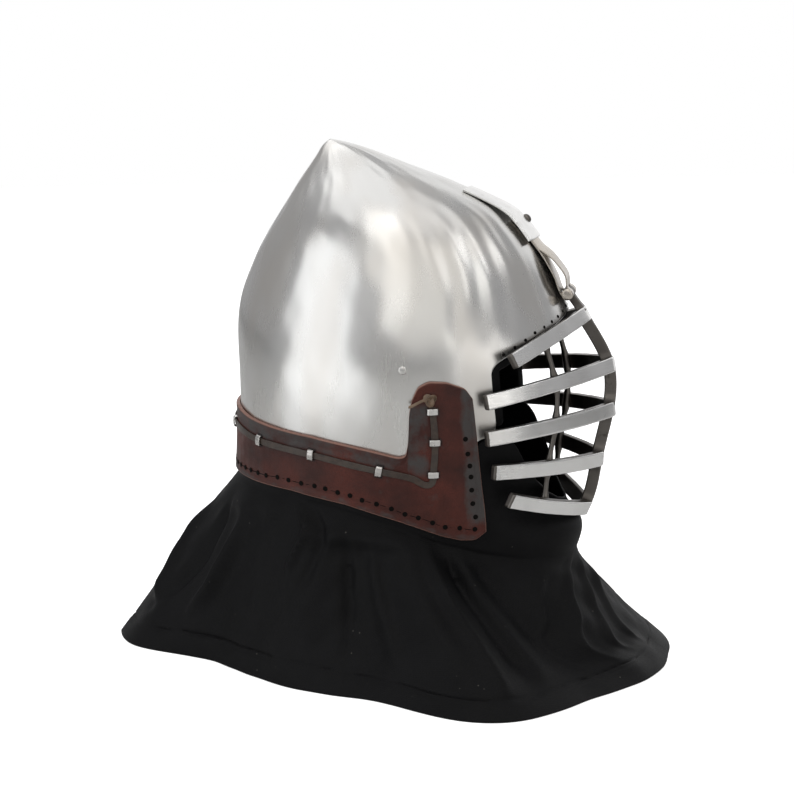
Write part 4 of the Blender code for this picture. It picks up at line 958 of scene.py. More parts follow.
def floor_finish(name):
    """Matt paper: an even pale tone with a very fine tooth, and an even white where the camera sees it,
    except on the ground inside the cape, which stays in shadow."""
    made, tree = new_finish(name, 0.0, Roughness=0.9, Emission_Strength=1.0)
    shader = tree.nodes["Principled BSDF"].inputs
    tooth = noise(object_place(tree), 300.0, 2.0, 0.5)
    pale = tuple(bpy.context.scene.bascinet_studio.floor_colour)
    tree.links.new(mixed(tooth, tuple(value * 0.985 for value in pale), pale), shader["Base Color"])
    seen = tree.nodes.new("ShaderNodeLightPath").outputs["Is Camera Ray"]
    shown = calc("MULTIPLY", seen, calc("SUBTRACT", 1.0, mark(tree, "inside")))
    tree.links.new(mixed(shown, (0.0, 0.0, 0.0), (0.86, 0.86, 0.86)), shader["Emission Color"])
    return made


# Tarnish of worn steel and of the skull, and how the grinding lines are stretched.
RUST = (0.10, 0.075, 0.055)
STAIN = (0.44, 0.385, 0.32)
EVEN = (1.0, 1.0, 1.0)
UPRIGHT = (1.0, 1.0, 0.12)
CROSSWISE = (0.1, 1.0, 1.0)

# Each finish: its maker and what the maker is given. A word stands for a colour of the panel. Steel has a
# clean colour, its tarnish, the share of that, pits, roughness, its spread, the stretch of the grinding
# lines, their depth and the strength of the bump.
FINISHES = {
    "polished_skull": (metal_finish, "steel", STAIN, 0.30, 0.01, 0.25, 0.04, UPRIGHT, 0.05, 0.005),
    "polished_steel": (metal_finish, "bright_steel", RUST, 0.12, 0.15, 0.28, 0.1, CROSSWISE, 0.25, 0.06),
    "staple_steel": (metal_finish, (0.60, 0.59, 0.57), RUST, 0.45, 0.3, 0.22, 0.12, EVEN, 0.3, 0.12),
    "strap_steel": (metal_finish, (0.50, 0.46, 0.41), RUST, 0.3, 0.2, 0.26, 0.10, EVEN, 0.3, 0.08),
    # The brow rivet takes the dark colour of the forged bars as a painted dark reflection.
    "dark_rivet": (metal_finish, "bar_steel", RUST, 0.3, 0.3, 0.3, 0.12, EVEN, 0.5, 0.2),
    "ground_bars": (bar_finish, "bright_steel", "bar_steel"),
    "band_leather": (leather_finish, "leather", "worn_leather", (0.30, 0.16, 0.125)),
    # The second colour of the lace and of the knot is a painted sheen.
    "lace_strap": (lace_finish, "lace", (0.052, 0.044, 0.035)),
    "lace_knot": (lace_finish, "knot", (0.26, 0.18, 0.115)),
    "aventail_cotton": (cloth_finish, "cloth", (0.10, 0.095, 0.085), 0.0009, 0.7),
    "lining_cotton": (cloth_finish, "cloth", (0.05, 0.045, 0.04), 0.0007, 0.3),
    "stitch_hole": (hole_shade_and_thread_finish,),
    "pale_floor": (floor_finish,),
}


def finish(name):
    """The named finish, made from the colours in the panel when it is first asked for."""
    if name in bpy.data.materials:
        return bpy.data.materials[name]
    if "worn_metal" not in bpy.data.node_groups:
        make_metal_group()
        make_grain_group()
        make_weave_group()
    panel = bpy.context.scene.bascinet_colours
    maker, *values = FINISHES[name]
    values = [tuple(getattr(panel, value)) if isinstance(value, str) else value for value in values]
    return maker(name, *values)


# Skull and liner


def steel_relief(angle, down, flute_depth, wave_depth):
    """Height of the skull's worked surface. Flutes: a cosine across lines that run down and back beside
    the crest, faded in and out by smooth steps. Hammering: sines of two long waves multiplied."""
    signed = np.degrees(angle)
    degrees = np.abs(signed)
    middle = FLUTE_PLACE[0] + (down - FLUTE_PLACE[1]) * FLUTE_LEAN
    inside = ease(degrees, 17, 27) * ease(degrees, 70, 60) * ease(down, 0.26, 0.37) * ease(down, 0.63, 0.57)
    flutes = flute_depth * np.cos(2 * np.pi * (degrees - middle) / FLUTE_BREADTH) * inside
    waves = np.sin(signed * 0.31 + 9 * down + 0.7) * np.sin(42 * down + signed * 0.045)
    waves = waves + 0.7 * np.sin(signed * 0.53 - 13 * down) * np.sin(27 * down + 1.3 - signed * 0.08)
    return flutes + wave_depth * waves * np.clip(down / 0.15, 0, 1)


def columns_to_edge(count, share, edge, start_down):
    """Angles and shares of columns that run from the apex to an edge line. They start evenly spread, and
    the square of their share leans them over to even places along the edge, also its upright stretches."""
    line = smooth_line(edge, 0.001, EDGE_ROUNDING)
    runs = run_lengths(on_skull(line))
    half = count // 2
    places = np.linspace(0.0, runs[-1], half + 1)
    end_degrees, end_down = at_places(places, runs, line)
    start_degrees = np.linspace(0.0, 180.0, half + 1)
    back = np.arange(half - 1, 0, -1)
    end_degrees = np.concatenate([end_degrees, -end_degrees[back]])
    end_down = np.concatenate([end_down, end_down[back]])
    start_degrees = np.concatenate([start_degrees, -start_degrees[back]])
    share = share[:, None]
    angle = np.radians(start_degrees + (end_degrees - start_degrees) * share**2)
    return angle, start_down + (end_down - start_down) * share


def bowl_wall(count, outer_rows, inner_rows, edge, start_down, high, low, rim):
    """Rings of a bowl's wall in one run: down the outer face, round the rim in half a circle, and up the
    inner face. Gives angles, shares down, heights over the skull, and how far round the rim they are."""
    outer = np.linspace(0.0, 1.0, outer_rows + 1)[1:] ** 0.9 * (1 - rim)
    turn = np.radians(np.linspace(0, 180, 9))[1:-1]
    inner = np.linspace(1 - rim, 0.04, inner_rows)
    share = np.concatenate([outer, 1 - rim + rim * np.sin(turn), inner])
    rolled = (high + low) / 2 + (high - low) / 2 * np.cos(turn)
    height = np.concatenate([np.full(len(outer), high), rolled, np.full(inner_rows, low)])
    across = np.concatenate([np.zeros(len(outer)), turn / np.pi, np.ones(inner_rows)])
    angle, down = columns_to_edge(count, share, edge, start_down)
    return angle, down, height[:, None], across[:, None]


def make_skull():
    """Skull: the egg-shaped rings with the worked relief on their outer face, and a rolled-over rim."""
    sizes = bpy.context.scene.bascinet_sizes
    angle, down, height, across = bowl_wall(384, 130, 36, STEEL_EDGE, 0.0, 0.0, -STEEL, 0.006)
    relief = steel_relief(angle, down, sizes.flute_depth, sizes.hammer_depth)
    rows = over_skull(angle, down, height + relief * (across < 0.1))
    tip = skull_point(0.0, 0.0)
    shell = bowl(tip, rows, tip - (0, 0, APEX_STEEL))
    skull = put_mesh("skull_steel", [shell], "polished_skull", "satin_steel")
    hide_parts("skull")


def liner_edge():
    """Edge of the liner: a little past the steel in the face opening, short of it round the neck."""
    edge = []
    for degrees, down in STEEL_EDGE:
        if down > FACE_LOW:
            edge.append((degrees, min(down, LINER_LOWEST) - LINER_SHORT))
        elif down > BROW_LOW:
            edge.append((degrees - LINER_LIP_ASIDE, down))
        else:
            edge.append((degrees * (1 - LINER_LIP_ASIDE / FACE_HALF), down + LINER_LIP_DOWN))
    return edge


def make_liner():
    """Liner: stuffed channels side by side. The inner face swells between seams, as the square root of a
    sine's size, and draws in at the stitched edge."""
    high = -STEEL - LINER_GAP
    low = high - LINER_THICKNESS
    angle, down, height, across = bowl_wall(256, 60, 60, liner_edge(), LINER_TOP, high, low, 0.03)
    channel = np.sqrt(np.abs(np.sin(np.degrees(angle) * np.pi / LINER_CHANNEL)))
    pull = LINER_SEAM_DEPTH * (1 - channel) * across
    edge_seam = 0.0012 * bell(down - down.max(axis=0) + 0.03, 0.004) * across
    rows = over_skull(angle, down, height + pull + edge_seam)
    tip = skull_point(0.0, 0.0) - (0, 0, LINER_APEX_DROP)
    shell = bowl(tip, rows, tip - (0, 0, LINER_THICKNESS))
    place = np.stack(np.broadcast_arrays(angle * 0.1, down * 0.3 + across * 0.01), -1).reshape(-1, 2)
    place = np.concatenate([[place[0]], place, [place[-1]]])
    liner = put_mesh("liner_padding", [shell], "lining_cotton", "black_cotton", uv=place)
    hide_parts("liner")


def make_steel_details():
    """Two flush rivets of the lining, and the sewing holes along the brow edge."""
    for side, name in ((1, "right"), (-1, "left")):
        angle, down = math.radians(side * SKULL_RIVET_PLACE[0]), SKULL_RIVET_PLACE[1]
        normal = skull_normal(angle, down)
        foot = over_skull(angle, down, JUST_OVER)
        shell = disc(foot, normal, SKULL_RIVET_DIAMETER, SKULL_RIVET_HEIGHT, 0.9, 32)
        rivet = put_mesh(f"lining_rivet_{name}", [shell], "polished_skull", "satin_steel", sharp=60)
        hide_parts(f"skull_rivet_{name}")
    line = smooth_line(STEEL_EDGE, 0.001, EDGE_ROUNDING)
    line = line[line[:, 1] < BROW_STITCH_LOWEST]
    runs = run_lengths(on_skull(line))
    places = np.arange(0.5, int(runs[-1] / BROW_STITCH) + 0.5) * BROW_STITCH
    degrees, down = at_places(places, runs, line)
    holes = np.column_stack([degrees, down - BROW_STITCH_UP])
    # The brow holes are dark discs: painted shade of each hole, with its thread.
    make_holes("brow_stitch_holes", holes, JUST_OVER, bpy.context.scene.bascinet_sizes.brow_hole)


def make_holes(name, holes, height, diameter):
    """Small dark discs in one piece, one for each hole of both sides, at this height over the skull:
    painted shade of the hole together with its dark thread. The holes are degrees and shares on one side."""
    degrees, down = np.concatenate([holes, holes * (-1.0, 1.0)]).T
    angle = np.radians(degrees)
    centres, normals = over_skull(angle, down, height), skull_normal(angle, down)
    shells = [disc(centre, normal, diameter, HOLE_RISE) for centre, normal in zip(centres, normals)]
    put_mesh(name, shells, "stitch_hole", "black_cotton", sharp=60)


# Leather band, staples and lace


def band_places():
    """Places of the band's grid: a line along its upper edge, crowded at the two front edges, and rows
    crowded at both edges. Gives angles, shares down and the distances to the front and to both edges."""
    line = smooth_line(BAND_TOP, 0.0005, BAND_ROUNDING)
    runs = run_lengths(on_skull(line))
    start = np.array([0.0, 0.0002, 0.0005, 0.0009, 0.0014, 0.002])
    places = np.concatenate([start, np.linspace(0.003, runs[-1], 190)])
    degrees, top = at_places(places, runs, line)
    back = slice(-2, None, -1)
    degrees = np.concatenate([degrees, 360.0 - degrees[back]])
    top = np.concatenate([top, top[back]])
    angle = np.radians(np.where(degrees > 180.0, degrees - 360.0, degrees))
    bottom = np.interp(np.degrees(np.abs(angle)), *smooth_line(BAND_BOTTOM, 0.0005, BAND_ROUNDING).T)
    edge = np.array([0.0, 0.003, 0.008, 0.014, 0.022, 0.032])
    share = np.concatenate([edge, np.linspace(0.05, 0.95, 44), 1 - edge[::-1]])[:, None]
    down = top + (bottom - top) * share
    near_front = np.clip(1 - (np.degrees(np.abs(angle)) - BAND_TOP[0][0]) / BAND_LEAN_SPREAD, 0, 1)
    angle = angle + np.sign(angle) * np.radians(BAND_FRONT_LEAN) * near_front * (1 - share)
    across = run_lengths(skull_point(angle, down))
    front = np.broadcast_to(np.concatenate([places, places[back]]), across.shape)
    return angle, down, front, across, across[-1] - across


def make_leather_band():
    """Band: a sheet over the skull, its edges rounded over, with soft waves, a rubbed and creased front and
    marks for wear, cut edges and the staples' slots, which the finish paints near black as their shade."""
    angle, down, front, below_top, above_bottom = band_places()
    edge = np.minimum(np.minimum(front, below_top), above_bottom)
    signed = np.degrees(angle)
    degrees = np.abs(signed)
    waves = 0.00008 * (np.sin(signed * 0.9 + 30 * down) * np.sin(signed * 0.37 - 17 * down + 1) - 1)
    lip = 0.0004 * bell(edge - 0.006, 0.0018)
    height = SEAT + LEATHER - round_in(edge, 0.0013) + waves * ease(edge, 0.0, 0.003) - lip
    outer = over_skull(angle, down, height)
    inner = over_skull(angle, down, SEAT)
    beside_staples = ease(degrees, 73.6, 75.0) * ease(degrees, 81.4, 80.2)
    wear = (
        0.75 * ease(degrees, 65.0, 62.2) * ease(down, 0.66, 0.70) * ease(down, 1.0, 0.96),
        0.6 * beside_staples * ease(down, 0.70, 0.73) * ease(down, 0.89, 0.86),
        0.55 * ease(below_top, 0.0125, 0.009) * ease(degrees, 80.0, 84.0),
        0.35 * ease(above_bottom, 0.006, 0.003),
    )
    # Mark of the staples' slots, for the painted shade in them.
    slot = np.zeros_like(edge)
    for side in (1, -1):
        for staple_degrees, staple_down, run in STAPLES:
            foot, along, cross, normal = staple_frame(side * staple_degrees, staple_down, run)
            away = outer - foot
            inside = ease(np.abs(away @ along), 0.0036, 0.0030) * ease(np.abs(away @ cross), 0.0056, 0.0050)
            slot = np.maximum(slot, inside * (np.abs(away @ normal) < 0.01))
    marks = {"worn": np.max(wear, axis=0), "cut": ease(edge, 0.0011, 0.0004) * 0.9, "slot": slot}
    marks = {label: np.concatenate([values, values[::-1]]).T.ravel() for label, values in marks.items()}
    shell = sheet(np.swapaxes(outer, 0, 1), np.swapaxes(inner, 0, 1))
    band = put_mesh("band_leather", [shell], "band_leather", "brown_leather", marks=marks)
    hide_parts("leather_band")


def make_band_stitching():
    """Sewing of the band to the cloth: holes down the front edge and along the lower edge, both sides, and
    the thread between them, which dips at each hole by a sine's size."""
    marks = np.array(BAND_STITCHES)
    rest = np.arange(marks[-1][0] + BACK_STITCH_STEP, 180.0, BACK_STITCH_STEP)
    marks = np.concatenate([marks, np.column_stack([rest, np.interp(rest, *zip(marks[-1], BACK_STITCH))])])
    over_leather = SEAT + LEATHER
    size = bpy.context.scene.bascinet_sizes.band_hole
    # The band's holes are dark discs: painted shade of each hole, with its thread.
    make_holes("band_stitch_holes", marks, over_leather + BAND_HOLE_LIFT, size)
    phase = np.linspace(0, len(marks) - 1, 6 * len(marks))
    height = over_leather - 0.0005 + (0.0002 * np.abs(np.sin(np.pi * phase)) - 0.0001)
    thread = rounded_outline(0.0004, 0.0003, 0.00025, 3)
    shells = []
    for side in (1, -1):
        route = natural_spline(np.arange(len(marks)), marks * (side, 1))(phase)
        shells.append(swept(strip_on_skull(route, height, 1.0, thread)))
    put_mesh("band_thread", shells, "stitch_hole", "black_cotton", sharp=60)


def staple_frame(degrees, down, run):
    """Foot on the skull, the lace's direction, the direction across it, and the outward normal."""
    angle = math.radians(degrees)
    step = 1e-3
    foot = skull_point(angle, down)
    normal = skull_normal(angle, down)
    if run == "down":
        along = skull_point(angle, down + step) - foot
    else:
        route = np.array(LACE_ROUTE)
        ahead = math.radians(abs(degrees) + 2.0)
        route_down = np.interp([abs(degrees), abs(degrees) + 2.0], *route[LACE_TURN:].T)
        along = skull_point(math.copysign(ahead, degrees), down + route_down[1] - route_down[0]) - foot
    along = unit(along - normal * np.dot(along, normal))
    return foot, along, np.cross(normal, along), normal


def make_staples():
    """Staples: a flat wire with rounded edges, bent up, over the lace and down again along a U-shaped path
    with rounded shoulders."""
    under = SEAT + LEATHER + GAP
    crown = under + LACE_THICKNESS + GAP + STAPLE_WIRE / 2
    half = LACE_WIDTH / 2 + SLOT_CLEARANCE + STAPLE_WIRE / 2
    bend = 0.0013
    turn = np.radians(np.linspace(180, 90, 8))
    shoulder = np.column_stack([-half + bend + bend * np.cos(turn), crown - bend + bend * np.sin(turn)])
    leg = np.column_stack([np.full(4, -half), np.linspace(SEAT, crown - bend - 0.0002, 4)])
    domed = crown + 0.0003 * np.linspace(0, 1, 4)
    top = np.column_stack([np.linspace(-half + bend + 0.0003, 0.0, 4), domed])
    left = np.concatenate([leg, shoulder, top])
    path = np.concatenate([left, left[-2::-1] * (-1, 1)])
    tangent = directions(path)
    out = np.column_stack([-tangent[:, 1], tangent[:, 0]])
    section = rounded_outline(STAPLE_LENGTH / 2, STAPLE_WIRE / 2, 0.0005, 4, 0.0002)
    shells, names = [], []
    for side, label in ((1, "right"), (-1, "left")):
        for number, (degrees, down, run) in enumerate(STAPLES, start=1):
            foot, along, across, normal = staple_frame(side * degrees, down, run)
            points = foot + path[:, :1] * across + path[:, 1:] * normal
            rise = out[:, :1] * across + out[:, 1:] * normal
            shells.append(swept(along_path(points, np.broadcast_to(along, points.shape), rise, section)))
            names.append(f"vervelle_{label}_{number}")
    staples = put_mesh("staple_wires", shells, "staple_steel", "bright_steel")
    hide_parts(*names)


def strip_on_skull(route, height, width, section):
    """Sections of a strip whose middle follows a route of degrees and shares at a height over the skull."""
    angle, down = np.radians(route[:, 0]), route[:, 1]
    path = over_skull(angle, down, height)
    normal = skull_normal(angle, down)
    across = unit(np.cross(normal, directions(path)))
    return along_path(path, across * np.reshape(width, (-1, 1)), normal, section)


def make_lace():
    """Lace: a strip with rounded edges along its route, its width and height wavering a little between
    the staples."""
    marks = np.array(LACE_ROUTE)
    runs = run_lengths(on_skull(marks))
    half = natural_spline(runs, marks)(np.linspace(0.0, runs[-1], 260))
    route = np.concatenate([half, half[-2::-1] * (-1.0, 1.0) + (360.0, 0.0)])
    run = run_lengths(on_skull(route))
    width = 1.0 - 0.05 * (1 + np.sin(run * 190.0) * np.sin(run * 71.0))
    lift = SEAT + LEATHER + 0.00005 + 0.00012 * (1 + np.sin(run * 160.0))
    half_width = bpy.context.scene.bascinet_sizes.lace_width / 2
    section = rounded_outline(half_width, LACE_THICKNESS / 2, 0.00045, 4, 0.0003)
    sections = strip_on_skull(route, lift + LACE_THICKNESS / 2, width, section)
    lace = put_mesh("lace_strip", [swept(sections)], "lace_strap", "lace_leather")
    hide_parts("lace")


def make_knot(side, name):
    """Knot: a strip along a trefoil (two sines and two cosines of one and two turns, its height a sine of
    three), flattened on the leather, with a folded tail that stands towards the back."""
    angle, down = math.radians(side * KNOT_PLACE[0]), KNOT_PLACE[1]
    normal = skull_normal(angle, down)
    aside = unit(np.cross(normal, (0.0, 0.0, 1.0))) * side
    upward = np.cross(aside, normal) * side
    centre = skull_point(angle, down) + normal * (SEAT + LEATHER + 0.0026) - upward * 0.0025
    turn = np.linspace(0.35, 2 * np.pi + 0.25, 150)
    flat = KNOT_SIZE * np.array([np.sin(turn) + 2 * np.sin(2 * turn), np.cos(turn) - 2 * np.cos(2 * turn)])
    line = np.column_stack([*flat, KNOT_HEIGHT * np.sin(3 * turn)])
    path = centre + line @ np.array([aside, upward, normal])
    along = directions(path)
    flat_across = unit(np.cross(normal, along))
    flat_rise = unit(np.cross(along, flat_across))
    lean = 0.55 * np.sin(turn * 3 + 0.6)[:, None]
    across = flat_across * np.cos(lean) + flat_rise * np.sin(lean)
    rise = flat_rise * np.cos(lean) - flat_across * np.sin(lean)
    section = rounded_outline(0.0018, 0.0006, 0.00045, 4, 0.0002)
    knot = swept(along_path(path, across, rise, section, 0.0005))
    places = natural_spline(np.arange(len(TAIL_LINE)), TAIL_LINE)(np.linspace(0, len(TAIL_LINE) - 1, 60))
    tail = centre + places @ np.array([aside, upward, normal])
    along = directions(tail)
    across = unit(np.cross(normal, along) + 0.35 * normal)
    rise = unit(np.cross(along, across))
    shells = [knot, swept(along_path(tail, across, rise, section * (0.62, 1.0), 0.0005))]
    made = put_mesh(f"lace_end_{name}", shells, "lace_knot", "lace_leather")
    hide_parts(f"lace_knot_{name}", f"lace_tail_{name}")


# Aventail


def turn_between(degrees, centre):
    """Degrees from a centre, the shorter way round."""
    return (degrees - centre + 180.0) % 360.0 - 180.0


def fold_height(degrees, share):
    """Sum of the main folds: a bell across each, rising from the neck to its place and falling slowly."""
    total = np.zeros(np.broadcast_shapes(degrees.shape, share.shape))
    for neck, hem, breadth, height, place in CLOTH_FOLDS:
        along = np.where(share < place, np.sin(np.pi / 2 * share / place), 1 - FOLD_FALL * (share - place))
        total += height * along * bell(turn_between(degrees, neck + (hem - neck) * share), breadth)
    return total


def crease_height(degrees, share):
    """Sum of the smaller folds: a bell across a line of degrees against shares, eased in and out along
    it. The rolls under the band are bells down the cloth."""
    total = np.zeros(np.broadcast_shapes(degrees.shape, share.shape))
    for breadth, height, line in CLOTH_CREASES:
        shares, centres = np.array(line).T
        first, last = shares[0], shares[-1]
        centre = natural_spline(shares, centres)(np.clip(share, first, last))[..., 0]
        run = (last - first) * 0.3
        along = ease(share, first - 0.02, first + run) * ease(share, last + 0.02, last - run)
        across = bell(turn_between(degrees, centre), CREASE_BREADTH * breadth)
        total += CREASE_DEPTH * height * along * across
    for place, breadth, height, first, last in CLOTH_ROLLS:
        level = place[0] + (place[1] - place[0]) * (np.abs(degrees) - first) / (last - first)
        window = ease(np.abs(degrees), first - 6, first + 6) * ease(np.abs(degrees), last + 6, last - 6)
        total += height * bell(share - level, breadth) * window
    return total


def small_ripples(degrees, share):
    """Slack between the folds: three slanting sines multiplied in pairs."""
    first = np.sin(np.radians(degrees) * 19 + 7 * share) * np.sin(9 * share + 0.05 * degrees)
    second = np.sin(np.radians(degrees) * 31 - 11 * share + 1.0) * np.sin(15 * share - 0.03 * degrees + 0.5)
    return 0.0011 * first + 0.0007 * second


def aventail_surface(turn, upper_rows, free_places):
    """Outer face of the cloth. Over the neck it follows the skull's rings; then its reach grows from the
    neck to the hem as a power of the share, with the folds added, and its height falls evenly."""
    angle = np.radians(np.where(turn > 180.0, turn - 360.0, turn))
    top, neck = soft_outline(CLOTH_TOP, angle), soft_outline(CLOTH_NECK, angle)
    down = top + (neck - top) * np.linspace(0.0, 1.0, upper_rows)[:, None]
    in_face = ease((CHIN_SIDE - np.degrees(np.abs(angle))) / CHIN_SIDE_SPREAD, 0, 1)
    hollow = bell(down - CHIN_HOLLOW_DOWN, CHIN_HOLLOW_SPREAD)
    upper = over_skull(angle, down, -CHIN_HOLLOW * in_face * hollow)
    start = upper[-1]
    round_degrees = np.degrees(np.arctan2(-start[:, 0], -start[:, 1]))
    hem_degrees, hem_shares = np.array(HEM_OUTLINE).T
    hem = natural_spline(hem_degrees, hem_shares)(np.abs(round_degrees))[:, 0] * HEM_REACH
    near_reach = np.hypot(start[:, 0], start[:, 1])
    away = start[:, :2] / near_reach[:, None]
    power = SPREAD_POWER + SPREAD_POWER_FRONT * np.cos(angle)
    part = free_places[:, None]
    reach = near_reach + (hem - near_reach) * part**power
    folds = fold_height(round_degrees, part) * np.minimum(1.0, 4 * (1 - part) + HEM_FOLD_SHARE)
    fine = crease_height(round_degrees, part) + small_ripples(round_degrees, part) * ease(part, 0.0, 0.2)
    reach = reach + folds + fine * np.minimum(1.0, 3 * (1 - part) + 0.25)
    lower = np.concatenate([away * reach[..., None], (start[:, 2] * (1 - part))[..., None]], -1)
    lower[:, :, 0] *= HEM_HALF_WIDTH / np.abs(lower[-1, :, 0]).max()
    return np.concatenate([upper, lower])


def soft_outline(table, angle):
    """Share down against the angle, with the corners of the table rounded."""
    degrees, down = smooth_line(table, 0.001, 0.004).T
    return np.interp(np.degrees(np.abs(angle)), degrees, down)


def grid_normals(grid):
    """Unit normals of a closed grid whose columns run round and whose rows run down."""
    around = np.roll(grid, -1, axis=1) - np.roll(grid, 1, axis=1)
    return unit(np.cross(around, np.gradient(grid, axis=0)))


def hem_relief(from_hem):
    """Height of the turned-up hem over the cloth, with a groove at its seam and one for its stitches."""
    relief = 0.0005 * ease(from_hem, HEM_SEAM, HEM_FOLD) - 0.0011 * bell(from_hem - HEM_SEAM, 0.0011)
    return relief - 0.0006 * bell(from_hem - HEM_STITCH, 0.0008)


def cloth_shell(face, length, normal):
    """Rows of the cloth's shell and how far down each is: its face, half a circle round the hem, its second
    face a thickness inside, and half a circle round the sewn upper edge."""
    from_hem = length[-1] - length
    radius = CLOTH / 2
    outer = face + normal * (hem_relief(from_hem) - 0.0003)[..., None]
    outer[..., 2] += (radius - outer[-1, :, 2]) * ease(from_hem, 0.03, 0.0)
    angle = np.radians(np.linspace(0, 180, 8))[1:-1, None, None]
    flat = unit(normal[-1] * (1, 1, 0))
    hem_centre = outer[-1] - flat * radius
    hem_arc = hem_centre + (flat * np.cos(angle) - np.array([0, 0, 1.0]) * np.sin(angle)) * radius
    inner = outer - normal * CLOTH
    hem_inside = hem_centre - flat * radius
    inner = inner + (hem_inside - inner[-1]) * ease(from_hem, 0.012, 0.0)[..., None]
    inner[-1] = hem_inside
    upward = unit(outer[0] - outer[1])
    top_centre = outer[0] - normal[0] * radius
    top_arc = top_centre + (-normal[0] * np.cos(angle) + upward * np.sin(angle)) * radius
    rounding = np.zeros((len(angle), 1))
    depth = np.concatenate([length, length[-1] + rounding + 0.002, length[::-3], length[:1] + rounding])
    return np.concatenate([outer, hem_arc, inner[::-3], top_arc]), depth


def make_aventail():
    """Aventail: a gathered sheet of cloth with a turned-up hem, which goes round the neck and stands on the
    hem. Its flat size is read from its face: along the hem, and down the longest column."""
    turn = np.linspace(0.0, 360.0, 440, endpoint=False)
    turn = turn - COLUMN_CROWDING * np.sin(np.radians(2 * turn))
    face = aventail_surface(turn, 34, np.linspace(0.0, 1.0, 95)[1:] ** 0.96)
    length = run_lengths(face)
    rows, depth = cloth_shell(face, length, grid_normals(face))
    around = np.linspace(0.0, 1.0, face.shape[1], endpoint=False)
    surface = {"uv": np.stack(np.broadcast_arrays(around, depth), -1), "period": 1.0}
    shells = [closed_grid(rows)]
    cloth = put_mesh("aventail_cloth", shells, "aventail_cotton", "black_cotton", sharp=60, **surface)
    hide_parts("aventail")
    beside = np.roll(face, -1, axis=1) - face
    area = float(np.linalg.norm(np.cross(face[1:] - face[:-1], beside[:-1]), axis=-1).sum())
    flat = (float(np.linalg.norm(beside[-1], axis=-1).sum()), float(length[-1].max()))
    area = min(area, flat[0] * flat[1])


# Brow plate, hinge and rivet


def make_brow_plate():
    """Brow plate: a sheet over the crest with rounded edges, its lift over the strap a power of the share
    of its length, its low edge bowed by a parabola."""
    edge = np.array([0.0, 0.004, 0.01, 0.018, 0.03])
    places = np.concatenate([edge, np.linspace(0.05, 0.95, 46), 1 - edge[::-1]])
    share, across = places[:, None], places[None, :] - 0.5
    width = PLATE_WIDTH_TOP + (PLATE_WIDTH_LOW - PLATE_WIDTH_TOP) * share**2
    low_end = PLATE_BOW * ease(share, 0.6, 1.0)
    bow = low_end * (1 - (2 * across) ** 2) - low_end
    lift = plate_lift(share)
    near = np.minimum(np.minimum(share, 1 - share) * PLATE_LENGTH, (0.5 - np.abs(across)) * width)
    waves = 0.00008 * np.sin(across * 23) * np.sin(share * 17)
    height = lift + PLATE_THICKNESS - round_in(near, 0.0009) + waves
    place = PLATE_TOP + (PLATE_LOW - PLATE_TOP) * share + 0.6 * bow / SKULL_DROP
    outer = crest_point(across * width, place, height)
    inner = crest_point(across * width, place, lift)
    plate = put_mesh("brow_plate_steel", [sheet(outer, inner)], "polished_steel", "bright_steel")
    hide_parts("brow_plate")


def make_brow_rivet():
    """Rivet through the brow plate: a dome of rings, each at its angle up a quarter of an ellipse."""
    lift = plate_lift((RIVET_DOWN - PLATE_TOP) / (PLATE_LOW - PLATE_TOP)) + PLATE_THICKNESS
    normal = skull_normal(0.0, RIVET_DOWN)
    foot = over_skull(0.0, RIVET_DOWN, lift)
    ring = ring_across(normal, (1.0, 0.2, 0.0), 40) * (RIVET_DIAMETER / 2)
    tilt = np.radians(np.array([-20, 0, 12, 25, 38, 52, 64, 76]))
    rows = np.stack([foot + ring * math.cos(t) + normal * math.sin(t) * RIVET_HEIGHT for t in tilt])
    shell = bowl(foot - normal * 0.001, rows, foot + normal * RIVET_HEIGHT)
    # Its dark colour stands for a painted dark reflection.
    rivet = put_mesh("brow_rivet_head", [shell], "dark_rivet", "satin_steel", sharp=60)
    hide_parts("brow_rivet")


def strap_line():
    """Middle line of the strap in the Y-Z plane: down on the crest, round the pin and back up in an arch,
    with the share of the crest's creased shape that it takes at each point."""
    radius = PIN_DIAMETER / 2 + PIN_CLEARANCE + STRAP_THICKNESS / 2
    inner_height = SEAT + STRAP_THICKNESS / 2
    outer_height = inner_height + STRAP_THICKNESS + GAP
    pin = np.array([PIN_Y, PIN_Z])
    down = np.linspace(STRAP_TOP, STRAP_LEAVES_CREST, len(INNER_LEAF_CREASE))
    inner = over_skull(0.0, down, inner_height)[:, 1:]
    arch_rows = 4
    outer = over_skull(0.0, down[: len(OUTER_LEAF_CREASE) - arch_rows], outer_height)[:, 1:]
    slope = unit(pin - inner[-1])
    back = np.array([-slope[1], slope[0]])
    if np.dot(back, (1.0, -1.0)) < 0:
        back = -back
    turn = math.atan2(back[1], back[0]) - np.radians(np.linspace(0.0, STRAP_WRAP, 11))
    loop = pin + radius * np.column_stack([np.cos(turn), np.sin(turn)])
    run = loop[-1] - outer[-1]
    away = unit(np.array([-run[1], run[0]]))
    if np.dot(away, (-1.0, 1.0)) < 0:
        away = -away
    share = np.linspace(1.0, 0.0, arch_rows + 2)[1:-1, None]
    arch = outer[-1] + run * share + away * STRAP_ARCH * 4 * share * (1 - share)
    route = np.concatenate([inner, loop, arch, outer[::-1]])
    crease = np.concatenate([INNER_LEAF_CREASE, np.zeros(len(loop)), OUTER_LEAF_CREASE])
    runs = run_lengths(route)
    fine = np.linspace(0.0, runs[-1], 190)
    return natural_spline(runs, route)(fine), np.interp(fine, runs, crease)


